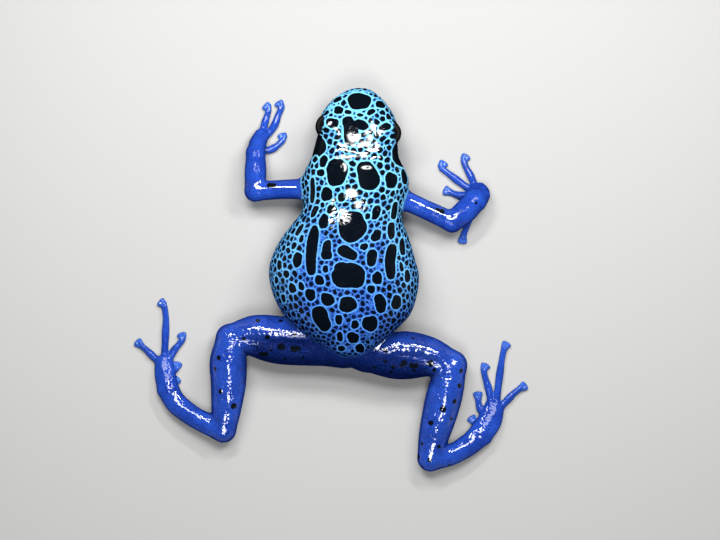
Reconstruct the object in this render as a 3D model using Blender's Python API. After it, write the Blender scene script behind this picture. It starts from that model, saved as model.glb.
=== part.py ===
"""A blue poison dart frog, life size, as a still museum model that lies on a flat floor.

The frog is seen from above with its head towards +Y, its left side towards -X and +Z up.
Sizes are in millimetres here and the meshes are in metres. The origin is on the floor under
the middle of the outline. The frog measures 42 mm from snout to vent.
"""

import math

import bmesh
import bpy
import numpy as np
from mathutils import Vector

MM = 0.001
GAP = 0.3
FLOOR = 0.0
SUNK = 0.12

# Body from the vent to the snout: y, middle x, half width, height of the widest line,
# height of the back, height of the belly. In the head the widest line is the mouth.
BODY = [
    (-11.95, 3.15, 0.0, 6.3, 6.3, 6.3),
    (-11.5, 3.1, 1.7, 6.1, 7.5, 4.8),
    (-10.6, 2.95, 3.3, 5.8, 8.7, 3.2),
    (-9.0, 2.75, 5.6, 5.4, 10.2, 1.5),
    (-7.4, 2.65, 7.6, 5.1, 11.4, 0.6),
    (-5.2, 2.55, 9.8, 4.8, 12.6, 0.0),
    (-2.4, 2.3, 11.1, 4.7, 13.5, -0.3),
    (0.9, 2.1, 11.7, 4.7, 13.8, -0.4),
    (3.6, 1.95, 11.2, 4.8, 13.5, -0.3),
    (6.5, 2.25, 10.1, 5.0, 12.8, -0.1),
    (9.0, 2.7, 8.7, 5.2, 12.2, 0.2),
    (11.2, 3.3, 7.7, 5.4, 11.7, 0.5),
    (13.4, 3.7, 7.9, 5.5, 11.3, 0.8),
    (15.6, 3.9, 8.3, 5.5, 11.0, 1.0),
    (17.4, 3.85, 7.8, 5.4, 10.7, 1.2),
    (19.2, 3.85, 6.9, 5.1, 10.4, 1.5),
    (21.2, 4.0, 6.4, 4.8, 10.1, 1.8),
    (23.5, 4.25, 6.15, 4.6, 9.7, 2.0),
    (25.6, 4.2, 5.75, 4.6, 9.1, 2.2),
    (27.0, 4.2, 5.0, 4.65, 8.4, 2.5),
    (28.3, 4.25, 3.95, 4.7, 7.6, 2.9),
    (29.3, 4.4, 2.75, 4.75, 6.8, 3.3),
    (29.95, 4.5, 1.6, 4.8, 6.1, 3.9),
    (30.3, 4.6, 0.0, 4.9, 4.9, 4.9),
]
NECK_Y = 18.6
BACK_ROUNDNESS = 2.1
BELLY_ROUNDNESS = 2.4
CROWN_ROUNDNESS = 2.6
CHIN_ROUNDNESS = 2.1
RUMP_CENTRE = (3.9, -11.2, 4.0)
RUMP_HALF_SIZE = (4.6, 2.1, 2.7)

# Each limb station: x, y, z, half width across, half height. A limb's round ends have rings
# at these shares of the end's radius.
CAP_STEPS = (0.95, 0.62)
UPPER_ARM = {
    "left": [(-2.0, 14.6, 4.9, 1.7, 1.7), (-7.6, 14.45, 4.2, 1.5, 1.5), (-11.85, 14.2, 3.5, 1.55, 1.5)],
    "right": [(9.0, 13.9, 4.9, 1.7, 1.7), (14.2, 11.6, 4.2, 1.5, 1.5), (19.0, 9.4, 3.5, 1.6, 1.5)],
}
FOREARM = {
    "left": [(-11.85, 14.2, 3.5, 1.55, 1.5), (-11.75, 17.3, 3.3, 1.7, 1.6), (-11.75, 20.2, 2.7, 1.45, 1.3)],
    "right": [(19.0, 9.4, 3.5, 1.6, 1.5), (20.95, 10.95, 3.3, 1.85, 1.65), (22.7, 12.85, 2.7, 1.75, 1.35)],
}
PALM = {
    "left": [(-11.75, 20.2, 2.7, 1.45, 1.3), (-11.4, 21.8, 1.5, 1.35, 1.25), (-10.8, 23.1, 0.85, 1.15, 0.9)],
    "right": [(22.7, 12.85, 2.7, 1.75, 1.35), (23.3, 13.7, 1.6, 1.7, 1.35), (22.9, 14.5, 0.9, 1.5, 0.95)],
}
THIGH = {
    "left": [
        (1.5, -10.6, 4.3, 2.6, 2.6),
        (-4.0, -9.8, 4.0, 3.35, 2.9),
        (-8.2, -9.1, 3.9, 3.75, 3.0),
        (-12.0, -8.5, 3.8, 3.3, 2.7),
        (-15.65, -8.85, 3.7, 2.2, 2.25),
    ],
    "right": [
        (6.0, -11.6, 4.3, 2.6, 2.6),
        (9.4, -11.6, 4.0, 3.55, 2.9),
        (12.2, -11.5, 3.9, 3.75, 3.0),
        (15.5, -11.8, 3.8, 3.15, 2.7),
        (18.95, -13.1, 3.7, 2.3, 2.3),
    ],
}
SHIN = {
    "left": [
        (-15.65, -8.85, 3.7, 2.2, 2.25),
        (-16.0, -12.4, 3.7, 2.9, 2.6),
        (-16.0, -16.0, 3.3, 2.75, 2.4),
        (-16.4, -20.4, 2.6, 2.3, 2.0),
        (-16.8, -23.3, 2.1, 1.9, 1.8),
    ],
    "right": [
        (18.95, -13.1, 3.7, 2.3, 2.3),
        (18.0, -17.0, 3.7, 2.8, 2.6),
        (17.1, -20.6, 3.3, 2.75, 2.4),
        (16.1, -24.6, 2.6, 2.35, 2.0),
        (15.6, -27.8, 2.1, 1.95, 1.8),
    ],
}
TARSUS = {
    "left": [
        (-16.8, -23.3, 2.1, 1.9, 1.8),
        (-20.8, -21.6, 1.8, 1.65, 1.5),
        (-24.0, -19.3, 1.5, 1.7, 1.3),
        (-25.6, -16.9, 1.2, 1.65, 1.15),
    ],
    "right": [
        (15.6, -27.8, 2.1, 1.95, 1.8),
        (18.8, -27.2, 1.8, 1.7, 1.5),
        (21.4, -25.8, 1.5, 1.75, 1.3),
        (23.6, -24.0, 1.2, 1.85, 1.15),
    ],
}
SOLE = {
    "left": [(-25.6, -16.9, 1.2, 1.65, 1.15), (-26.1, -14.2, 0.85, 1.6, 0.9), (-26.2, -12.2, 0.65, 1.3, 0.7)],
    "right": [(23.6, -24.0, 1.2, 1.85, 1.15), (25.0, -21.8, 0.9, 1.9, 0.95), (25.8, -19.4, 0.65, 1.5, 0.7)],
}

# Digits, thumb side first: the plan points from the root to the tip.
FINGERS = {
    "left": [
        [(-11.6, 21.6), (-11.3, 19.5), (-11.0, 17.8), (-10.9, 16.6)],
        [(-11.2, 21.2), (-9.9, 20.7), (-8.65, 21.25), (-7.6, 22.3), (-7.75, 23.4)],
        [(-10.8, 22.4), (-9.1, 24.1), (-8.4, 25.9), (-7.8, 27.3), (-8.35, 28.4)],
        [(-11.0, 22.8), (-10.4, 24.8), (-9.85, 27.0), (-10.45, 27.9)],
    ],
    "right": [
        [(22.9, 13.7), (22.2, 11.4), (21.5, 9.1), (20.9, 7.4), (20.65, 6.0)],
        [(22.2, 13.9), (20.4, 13.6), (18.8, 14.1), (17.7, 14.5)],
        [(22.4, 14.2), (20.55, 15.5), (18.3, 17.2), (17.45, 18.0), (17.95, 18.95)],
        [(22.9, 14.2), (22.2, 16.2), (21.0, 18.7), (21.45, 20.0)],
    ],
}
TOES = {
    "left": [
        [(-25.6, -16.6), (-24.7, -15.9), (-23.9, -15.1)],
        [(-25.8, -15.0), (-24.5, -13.9), (-24.0, -12.6)],
        [(-25.8, -13.2), (-24.7, -10.9), (-23.4, -9.2), (-23.6, -8.0)],
        [(-26.2, -12.8), (-26.0, -8.6), (-25.95, -5.0), (-26.35, -3.6), (-27.05, -3.05)],
        [(-26.5, -13.2), (-28.5, -11.2), (-30.65, -9.3)],
    ],
    "right": [
        [(23.8, -23.2), (22.8, -22.4), (21.9, -21.2)],
        [(24.6, -21.6), (23.4, -19.8), (23.1, -17.3)],
        [(25.3, -20.0), (24.9, -17.2), (24.1, -14.3), (24.5, -12.9)],
        [(26.0, -19.6), (26.4, -15.9), (27.1, -11.2), (27.8, -9.5)],
        [(26.3, -20.2), (28.9, -17.5), (30.8, -16.2)],
    ],
}
ROOT_HALF_WIDTH = 0.62
DIGIT_HALF_WIDTH = 0.55
KNUCKLE_HALF_WIDTH = 0.6
NARROW_HALF_WIDTH = 0.49
DISC_HALF_WIDTH = 0.78
DISC_HALF_HEIGHT = 0.36
DISC_LENGTH = 1.25

# The furrow between the two long muscles of a thigh, on its upper side towards the rear:
# its depth as a share of the thigh's half height, and its turn round the thigh in degrees.
FURROW_DEPTH = 0.12
FURROW_TURN = {"left": 96, "right": 80}

EYE_RADIUS = 2.05
EYE_GAP = 0.25
LID_THICKNESS = 0.4
EYE_CENTRE = {"left": (-0.25, 24.15, 6.9), "right": (8.95, 23.15, 6.9)}
EYE_AIM = {"left": (-1.0, 0.18, 0.15), "right": (1.0, 0.06, 0.15)}
LID_OPENING_HALF = (1.95, 2.15)
NOSTRIL = {"left": (2.0, 28.95, 6.35), "right": (6.95, 28.8, 6.35)}
NOSTRIL_RADIUS = 0.3
EARDRUM = {"left": (-2.2, 20.9, 6.2), "right": (10.3, 19.95, 5.9)}
EARDRUM_RADIUS = 0.85
EARDRUM_GROOVE = 0.16
MOUTH_BACK_Y = 20.6
MOUTH_HALF_HEIGHT = 0.13
MOUTH_DEPTH = 0.4

SIDE_SIGN = {"left": -1.0, "right": 1.0}

COBALT = (0.025, 0.065, 0.52)
SKY_BLUE = (0.10, 0.34, 0.80)
EYE_BLACK = (0.006, 0.006, 0.009)

# Brings the middle of the whole outline over the origin.
TO_MIDDLE = (-0.04, -0.28, 0.0)


def spline(rows, count=None):
    """Catmull-Rom curve through the rows, as count rows at even steps along its own length."""
    rows = np.array(rows, float)
    padded = np.vstack([2 * rows[0] - rows[1], rows, 2 * rows[-1] - rows[-2]])
    fine = []
    for start in range(len(rows) - 1):
        a, b, c, d = padded[start : start + 4]
        for t in np.linspace(0, 1, 24, endpoint=False):
            bend = (2 * a - 5 * b + 4 * c - d) * t**2 + (3 * b - a - 3 * c + d) * t**3
            fine.append((2 * b + (c - a) * t + bend) / 2)
    fine = np.array(fine + [rows[-1]])
    if count is None:
        return fine
    length = np.concatenate([[0], np.cumsum(np.linalg.norm(np.diff(fine, axis=0), axis=1))])
    steps = np.linspace(0, length[-1], count)
    return np.stack([np.interp(steps, length, column) for column in fine.T], axis=1)


def power_curve(angle, roundness):
    """Cosine and sine bent to a superellipse of this roundness."""
    c, s = math.cos(angle), math.sin(angle)
    bend = 2.0 / roundness
    return math.copysign(abs(c) ** bend, c), math.copysign(abs(s) ** bend, s)


def ring_mesh(name, rings, first_point=None, last_point=None):
    """A closed mesh from rings of equal count, each end a pole point or a flat fan."""
    count = len(rings[0])
    points = [tuple(p) for ring in rings for p in ring]
    points.append(tuple(first_point if first_point is not None else np.mean(rings[0], axis=0)))
    points.append(tuple(last_point if last_point is not None else np.mean(rings[-1], axis=0)))
    first, last = len(points) - 2, len(points) - 1
    faces = []
    for row in range(len(rings) - 1):
        for k in range(count):
            a, b = row * count + k, row * count + (k + 1) % count
            faces.append((a, b, b + count, a + count))
    top = (len(rings) - 1) * count
    for k in range(count):
        faces.append((first, (k + 1) % count, k))
        faces.append((last, top + k, top + (k + 1) % count))
    mesh = bpy.data.meshes.new(name)
    mesh.from_pydata([Vector(p) * MM for p in points], [], faces)
    bm = bmesh.new()
    bm.from_mesh(mesh)
    bmesh.ops.recalc_face_normals(bm, faces=bm.faces)
    if bm.calc_volume(signed=True) < 0:
        bmesh.ops.reverse_faces(bm, faces=bm.faces)
    bm.to_mesh(mesh)
    bm.free()
    piece = bpy.data.objects.new(name, mesh)
    bpy.context.scene.collection.objects.link(piece)
    return piece


def body_form(name, y_from, y_to, ring_count, side_count, grow=0.0):
    """The body's skin between two heights of y, grown outwards by an amount."""
    curve = spline(BODY)
    low, high = max(y_from, curve[0, 0]), min(y_to, curve[-1, 0])
    ends = [[np.interp(y, curve[:, 0], column) for column in curve.T] for y in (low, high)]
    inside = curve[(curve[:, 0] > low) & (curve[:, 0] < high)]
    curve = np.vstack([ends[0], inside, ends[1]])
    length = np.concatenate(
        [[0], np.cumsum(np.linalg.norm(np.diff(curve[:, [0, 2, 4]], axis=0), axis=1))]
    )
    steps = np.linspace(0, length[-1], ring_count)
    if y_from < low:
        steps = steps[1:]
    if y_to > high:
        steps = steps[:-1]
    rings = []
    for step in steps:
        y, x_mid, half, z_wide, z_back, z_belly = (np.interp(step, length, column) for column in curve.T)
        half, up, down = max(half, 0.05) + grow, z_back - z_wide + grow, z_wide - z_belly + grow
        share = min(1.0, max(0.0, (y - NECK_Y + 4.0) / 8.0))
        over = BACK_ROUNDNESS + (CROWN_ROUNDNESS - BACK_ROUNDNESS) * share
        under = BELLY_ROUNDNESS + (CHIN_ROUNDNESS - BELLY_ROUNDNESS) * share
        ring = []
        for k in range(side_count):
            angle = 2 * math.pi * k / side_count
            c, s = power_curve(angle, over if math.sin(angle) >= 0 else under)
            ring.append((x_mid + half * c, y, z_wide + s * (up if s > 0 else down)))
        rings.append(ring)
    poles = [None, None]
    if y_from < low:
        poles[0] = (curve[0, 1], curve[0, 0] - grow, curve[0, 3])
    if y_to > high:
        poles[1] = (curve[-1, 1], curve[-1, 0] + grow, curve[-1, 3])
    return ring_mesh(name, rings, poles[0], poles[1])


def limb_form(name, stations, ring_count, side_count, groove=0.0, groove_angle=0.0):
    """A round-ended limb through the stations. A groove dents its top along its length."""
    rows = spline(stations, ring_count)
    centres = rows[:, :3]
    tangents = np.gradient(centres, axis=0)
    tangents /= np.linalg.norm(tangents, axis=1)[:, None]
    rings = []

    def ring_at(centre, tangent, half_width, half_height, scale):
        across = np.cross(tangent, (0, 0, 1.0))
        across /= np.linalg.norm(across)
        up = np.cross(across, tangent)
        ring = []
        for k in range(side_count):
            angle = 2 * math.pi * k / side_count
            away = (angle - groove_angle + math.pi) % (2 * math.pi) - math.pi
            dent = 1.0 - groove * math.exp(-((away / 0.38) ** 2))
            ring.append(
                centre
                + across * math.cos(angle) * half_width * scale * dent
                + up * math.sin(angle) * half_height * scale * dent
            )
        return ring

    for amount in CAP_STEPS:
        reach = min(rows[0, 3:5]) * amount
        scale = math.sqrt(1 - amount**2)
        rings.append(ring_at(centres[0] - tangents[0] * reach, tangents[0], *rows[0, 3:5], scale))
    for row, centre, tangent in zip(rows, centres, tangents):
        rings.append(ring_at(centre, tangent, row[3], row[4], 1.0))
    for amount in reversed(CAP_STEPS):
        reach = min(rows[-1, 3:5]) * amount
        scale = math.sqrt(1 - amount**2)
        rings.append(ring_at(centres[-1] + tangents[-1] * reach, tangents[-1], *rows[-1, 3:5], scale))
    first = centres[0] - tangents[0] * min(rows[0, 3:5])
    last = centres[-1] + tangents[-1] * min(rows[-1, 3:5])
    return ring_mesh(name, rings, first, last)


def digit_form(name, plan, side_count=8):
    """A finger or toe that lies on the floor along its plan points, with a widened disc at its tip."""
    path = spline([(x, y, 0.0) for x, y in plan], 60)
    length = np.concatenate([[0], np.cumsum(np.linalg.norm(np.diff(path, axis=0), axis=1))])
    whole = length[-1]
    disc = whole - DISC_LENGTH
    marks = [
        (0.0, ROOT_HALF_WIDTH, ROOT_HALF_WIDTH),
        (0.30 * disc, DIGIT_HALF_WIDTH, DIGIT_HALF_WIDTH),
        (0.55 * disc, KNUCKLE_HALF_WIDTH, DIGIT_HALF_WIDTH),
        (0.80 * disc, NARROW_HALF_WIDTH, NARROW_HALF_WIDTH),
        (disc, NARROW_HALF_WIDTH * 1.05, NARROW_HALF_WIDTH * 0.95),
        (disc + 0.45 * DISC_LENGTH, DISC_HALF_WIDTH * 0.92, DISC_HALF_HEIGHT),
        (disc + 0.72 * DISC_LENGTH, DISC_HALF_WIDTH, DISC_HALF_HEIGHT),
        (disc + 0.92 * DISC_LENGTH, DISC_HALF_WIDTH * 0.78, DISC_HALF_HEIGHT * 0.7),
    ]
    rings = []
    for at, half_width, half_height in marks:
        x, y = (np.interp(at, length, path[:, axis]) for axis in (0, 1))
        ahead = [np.interp(min(at + 0.2, whole), length, path[:, axis]) for axis in (0, 1)]
        behind = [np.interp(max(at - 0.2, 0.0), length, path[:, axis]) for axis in (0, 1)]
        along = np.array(ahead) - np.array(behind)
        along /= np.linalg.norm(along)
        centre = np.array((x, y, half_height - SUNK))
        across = np.array((along[1], -along[0], 0.0))
        ring = []
        for k in range(side_count):
            angle = 2 * math.pi * (k + 0.5) / side_count
            rise = np.array((0, 0, math.sin(angle) * half_height))
            ring.append(centre + across * math.cos(angle) * half_width + rise)
        rings.append(ring)
    tip = (path[-1][0], path[-1][1], DISC_HALF_HEIGHT * 0.6 - SUNK)
    return ring_mesh(name, rings, None, tip)


def ball(name, centre, half_size, segments=20, rings=12):
    """A sphere or ellipsoid."""
    bm = bmesh.new()
    bmesh.ops.create_uvsphere(bm, u_segments=segments, v_segments=rings, radius=1.0)
    for vert in bm.verts:
        vert.co = Vector([(c + h * v) * MM for c, h, v in zip(centre, half_size, vert.co)])
    mesh = bpy.data.meshes.new(name)
    bm.to_mesh(mesh)
    bm.free()
    piece = bpy.data.objects.new(name, mesh)
    bpy.context.scene.collection.objects.link(piece)
    return piece


def keep_largest(mesh):
    """Drops every surface but the one with the most volume."""
    bm = bmesh.new()
    bm.from_mesh(mesh)
    left = set(bm.faces)
    shells = []
    while left:
        shell, front = set(), [left.pop()]
        while front:
            face = front.pop()
            shell.add(face)
            for edge in face.edges:
                for other in edge.link_faces:
                    if other in left:
                        left.discard(other)
                        front.append(other)
        shells.append(shell)
    shells.sort(key=lambda faces: sum(f.calc_area() for f in faces))
    loose = [face for shell in shells[:-1] for face in shell]
    if loose:
        bmesh.ops.delete(bm, geom=loose, context="FACES")
        bmesh.ops.delete(bm, geom=[v for v in bm.verts if not v.link_faces], context="VERTS")
    bmesh.ops.dissolve_degenerate(bm, dist=2e-7, edges=bm.edges)
    bmesh.ops.triangulate(bm, faces=bm.faces)
    bm.to_mesh(mesh)
    bm.free()


def combine(piece, others, operation):
    """Joins the others to the piece, or cuts them from it, and removes them."""
    group = bpy.data.collections.new(piece.name + "_" + operation.lower())
    for other in others:
        group.objects.link(other)
    boolean = piece.modifiers.new(operation.lower(), "BOOLEAN")
    boolean.operation = operation
    boolean.operand_type = "COLLECTION"
    boolean.collection = group
    boolean.solver = "EXACT"
    bpy.context.view_layer.update()
    graph = bpy.context.evaluated_depsgraph_get()
    mesh = bpy.data.meshes.new_from_object(piece.evaluated_get(graph))
    piece.modifiers.clear()
    piece.data = mesh
    for other in others:
        bpy.data.objects.remove(other)
    bpy.data.collections.remove(group)
    keep_largest(piece.data)
    return piece


def trim(piece, point, outwards):
    """Cuts the piece by a plane, drops the side that outwards points to, and closes the cut."""
    bm = bmesh.new()
    bm.from_mesh(piece.data)
    bmesh.ops.bisect_plane(
        bm,
        geom=bm.verts[:] + bm.edges[:] + bm.faces[:],
        dist=1e-8,
        plane_co=Vector(point) * MM,
        plane_no=Vector(outwards),
        clear_outer=True,
    )
    rim = [edge for edge in bm.edges if edge.is_boundary]
    if rim:
        bmesh.ops.holes_fill(bm, edges=rim, sides=0)
    bmesh.ops.triangulate(bm, faces=bm.faces)
    bmesh.ops.recalc_face_normals(bm, faces=bm.faces)
    bm.to_mesh(piece.data)
    bm.free()
    keep_largest(piece.data)
    return piece


def stand_on_floor(piece):
    return trim(piece, (0, 0, FLOOR), (0, 0, -1))


def joint_cut(before, after):
    """The point and direction of the upright plane that halves the bend between two limbs."""
    joint = np.array(before[-1][:3])
    towards_root = np.array(before[-2][:3]) - joint
    towards_tip = np.array(after[1][:3]) - joint
    for way in (towards_root, towards_tip):
        way[2] = 0.0
        way /= np.linalg.norm(way)
    normal = towards_tip - towards_root
    return joint, normal / np.linalg.norm(normal)


def part_at_joint(near, far, before, after):
    """Trims both limbs at their joint, half a gap to each side of its plane."""
    joint, normal = joint_cut(before, after)
    trim(near, joint - normal * GAP / 2, normal)
    trim(far, joint + normal * GAP / 2, -normal)


def finish(piece, colour, roughness):
    """Gives the piece its material and smooth shading."""
    material = bpy.data.materials.new(piece.name + "_skin")
    material.use_nodes = True
    surface = material.node_tree.nodes["Principled BSDF"]
    surface.inputs["Base Color"].default_value = (*colour, 1.0)
    surface.inputs["Roughness"].default_value = roughness
    surface.inputs["Metallic"].default_value = 0.0
    piece.data.materials.clear()
    piece.data.materials.append(material)
    piece.data.shade_smooth()
    piece.data.set_sharp_from_angle(angle=math.radians(40))


def torso():
    piece = body_form("torso", -99, NECK_Y - GAP / 2, 30, 36)
    rump = ball("rump", RUMP_CENTRE, RUMP_HALF_SIZE, 20, 12)
    combine(piece, [rump], "UNION")
    stand_on_floor(piece)
    finish(piece, SKY_BLUE, 0.25)
    return piece


def mouth_blade():
    """A thin strip round the snout at the height of the mouth, which cuts the line of the lips."""
    curve = spline(BODY)
    curve = curve[curve[:, 0] > MOUTH_BACK_Y]
    length = np.concatenate([[0], np.cumsum(np.linalg.norm(np.diff(curve[:, [0, 2]], axis=0), axis=1))])
    steps = np.linspace(0, length[-1], 15)
    rows = [[np.interp(s, length, column) for column in curve.T] for s in steps]
    left = [(x - half, y, z) for y, x, half, z, _, _ in rows]
    right = [(x + half, y, z) for y, x, half, z, _, _ in reversed(rows[:-1])]
    path = np.array(left + right)
    tangents = np.gradient(path, axis=0)
    edges = ((MOUTH_DEPTH, 0), (-0.8, MOUTH_HALF_HEIGHT * 2), (-0.8, -MOUTH_HALF_HEIGHT * 2))
    rings = []
    for point, tangent in zip(path, tangents):
        inwards = np.cross((0, 0, 1.0), (tangent[0], tangent[1], 0.0))
        inwards /= -np.linalg.norm(inwards)
        ring = []
        for reach, height in edges:
            ring.append(point + inwards * reach + np.array((0, 0, height)))
        rings.append(ring)
    return ring_mesh("mouth_blade", rings)


def eye_opening(side):
    """A cone from the eye's centre outwards, which opens the lids."""
    aim = Vector(EYE_AIM[side]).normalized()
    across = aim.cross(Vector((0, 0, 1))).normalized()
    up = across.cross(aim)
    centre = Vector(EYE_CENTRE[side])
    rings = []
    for distance, share in ((0.4, 0.55), (1.6, 1.0), (5.0, 1.5)):
        ring = []
        for k in range(24):
            angle = 2 * math.pi * k / 24
            ring.append(
                centre
                + aim * distance
                + across * math.cos(angle) * LID_OPENING_HALF[0] * share
                + up * math.sin(angle) * LID_OPENING_HALF[1] * share
            )
        rings.append(ring)
    return ring_mesh("eye_opening", rings)


def eardrum_groove(side):
    """A ring that cuts the rim of the eardrum into the side of the head."""
    centre = Vector(EARDRUM[side])
    rings = []
    for k in range(20):
        turn = 2 * math.pi * k / 20
        out = Vector((0, math.cos(turn), math.sin(turn)))
        ring = []
        for j in range(5):
            angle = 2 * math.pi * j / 5
            ring.append(
                centre
                + out * (EARDRUM_RADIUS + EARDRUM_GROOVE * math.cos(angle))
                + Vector((3.5 * EARDRUM_GROOVE * math.sin(angle), 0, 0))
            )
        rings.append(ring)
    points = [p for ring in rings for p in ring]
    faces = []
    for k in range(20):
        for j in range(5):
            a, b = k * 5 + j, k * 5 + (j + 1) % 5
            c, d = ((k + 1) % 20) * 5 + (j + 1) % 5, ((k + 1) % 20) * 5 + j
            faces.append((a, b, c, d))
    mesh = bpy.data.meshes.new("eardrum_groove")
    mesh.from_pydata([p * MM for p in points], [], faces)
    bm = bmesh.new()
    bm.from_mesh(mesh)
    bmesh.ops.recalc_face_normals(bm, faces=bm.faces)
    bm.to_mesh(mesh)
    bm.free()
    piece = bpy.data.objects.new("eardrum_groove", mesh)
    bpy.context.scene.collection.objects.link(piece)
    return piece


def head():
    piece = body_form("head", NECK_Y + GAP / 2, 99, 20, 36)
    lids, cutters = [], [mouth_blade()]
    for side in SIDE_SIGN:
        centre = EYE_CENTRE[side]
        lids.append(ball("lid", centre, [EYE_RADIUS + EYE_GAP + LID_THICKNESS] * 3, 24, 14))
        cutters.append(ball("socket", centre, [EYE_RADIUS + EYE_GAP] * 3, 24, 14))
        cutters.append(eye_opening(side))
        cutters.append(ball("nostril", NOSTRIL[side], [NOSTRIL_RADIUS] * 3, 10, 6))
        cutters.append(eardrum_groove(side))
    combine(piece, lids, "UNION")
    combine(piece, cutters, "DIFFERENCE")
    finish(piece, SKY_BLUE, 0.25)


def eyes():
    for side in SIDE_SIGN:
        piece = ball(f"eye_{side}", EYE_CENTRE[side], [EYE_RADIUS] * 3, 24, 14)
        finish(piece, EYE_BLACK, 0.05)


def arms():
    for side in SIDE_SIGN:
        upper = limb_form(f"upper_arm_{side}", UPPER_ARM[side], 9, 14)
        fore = limb_form(f"forearm_{side}", FOREARM[side], 8, 14)
        hand = limb_form(f"hand_{side}", PALM[side], 6, 14)
        part_at_joint(upper, fore, UPPER_ARM[side], FOREARM[side])
        part_at_joint(fore, hand, FOREARM[side], PALM[side])
        shoulder = body_form("shoulder", -99, 99, 44, 36, GAP)
        combine(upper, [shoulder], "DIFFERENCE")
        fingers = [digit_form(f"finger_{k}", plan) for k, plan in enumerate(FINGERS[side])]
        combine(hand, fingers, "UNION")
        stand_on_floor(hand)
        for piece in (upper, fore, hand):
            finish(piece, COBALT, 0.3)


def legs():
    for side in SIDE_SIGN:
        turn = math.radians(FURROW_TURN[side])
        thigh = limb_form(f"thigh_{side}", THIGH[side], 13, 20, FURROW_DEPTH, turn)
        shin = limb_form(f"shin_{side}", SHIN[side], 12, 18)
        tarsus = limb_form(f"tarsus_{side}", TARSUS[side], 9, 14)
        foot = limb_form(f"foot_{side}", SOLE[side], 6, 14)
        part_at_joint(thigh, shin, THIGH[side], SHIN[side])
        part_at_joint(shin, tarsus, SHIN[side], TARSUS[side])
        part_at_joint(tarsus, foot, TARSUS[side], SOLE[side])
        hip = body_form("hip", -99, 99, 44, 36, GAP)
        rump = ball("rump", RUMP_CENTRE, [half + GAP for half in RUMP_HALF_SIZE], 20, 12)
        combine(thigh, [hip, rump], "DIFFERENCE")
        toes = [digit_form(f"toe_{k}", plan) for k, plan in enumerate(TOES[side])]
        combine(foot, toes, "UNION")
        stand_on_floor(foot)
        for piece in (thigh, shin, tarsus, foot):
            finish(piece, COBALT, 0.3)


def main():
    for old in list(bpy.data.objects):
        bpy.data.objects.remove(old)
    torso()
    head()
    eyes()
    arms()
    legs()
    shift = Vector(TO_MIDDLE) * MM
    for piece in bpy.data.objects:
        for vert in piece.data.vertices:
            vert.co += shift
        piece.data.update()


main()
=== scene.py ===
"""A blue poison dart frog: one skin over the whole body, its spots and net, and its eyes.

Lengths are in millimetres until the meshes are made, in the same places as the solids:
the head points along +Y, the frog's left side is towards -X, and the floor is at zero.
The skin is the zero surface of a distance field on a fine grid of points.
"""

import math

import bpy
import numpy as np
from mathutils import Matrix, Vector


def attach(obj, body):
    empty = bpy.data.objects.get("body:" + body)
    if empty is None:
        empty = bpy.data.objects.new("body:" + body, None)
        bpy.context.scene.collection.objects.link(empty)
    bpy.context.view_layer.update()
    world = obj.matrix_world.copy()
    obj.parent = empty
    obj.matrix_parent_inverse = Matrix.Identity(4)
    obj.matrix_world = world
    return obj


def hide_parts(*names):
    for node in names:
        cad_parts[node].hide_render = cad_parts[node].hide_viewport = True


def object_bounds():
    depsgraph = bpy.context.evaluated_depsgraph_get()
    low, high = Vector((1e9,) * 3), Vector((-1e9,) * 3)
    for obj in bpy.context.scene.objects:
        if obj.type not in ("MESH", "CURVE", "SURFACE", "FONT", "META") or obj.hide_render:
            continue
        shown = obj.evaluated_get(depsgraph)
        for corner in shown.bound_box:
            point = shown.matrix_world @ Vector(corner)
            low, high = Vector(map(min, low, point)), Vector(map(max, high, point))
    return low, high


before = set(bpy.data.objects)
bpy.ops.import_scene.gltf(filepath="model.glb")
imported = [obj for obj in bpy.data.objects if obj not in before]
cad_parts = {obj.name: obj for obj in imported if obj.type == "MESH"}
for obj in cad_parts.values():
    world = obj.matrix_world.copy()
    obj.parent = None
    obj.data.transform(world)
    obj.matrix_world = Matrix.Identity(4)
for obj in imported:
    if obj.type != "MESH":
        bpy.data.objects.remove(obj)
CAD_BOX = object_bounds()

MM = 0.001
# Moves all points, so that the middle of the whole outline lies over the origin.
TO_MIDDLE = np.array((-0.04, -0.28, 0.0))
# The step of the grid and two of its corners, and the largest distance kept on it.
STEP = 0.115
GRID_LOW = np.array((-31.5, -30.4, -0.42))
GRID_HIGH = np.array((31.6, 31.0, 14.6))
FAR = 4.0

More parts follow.
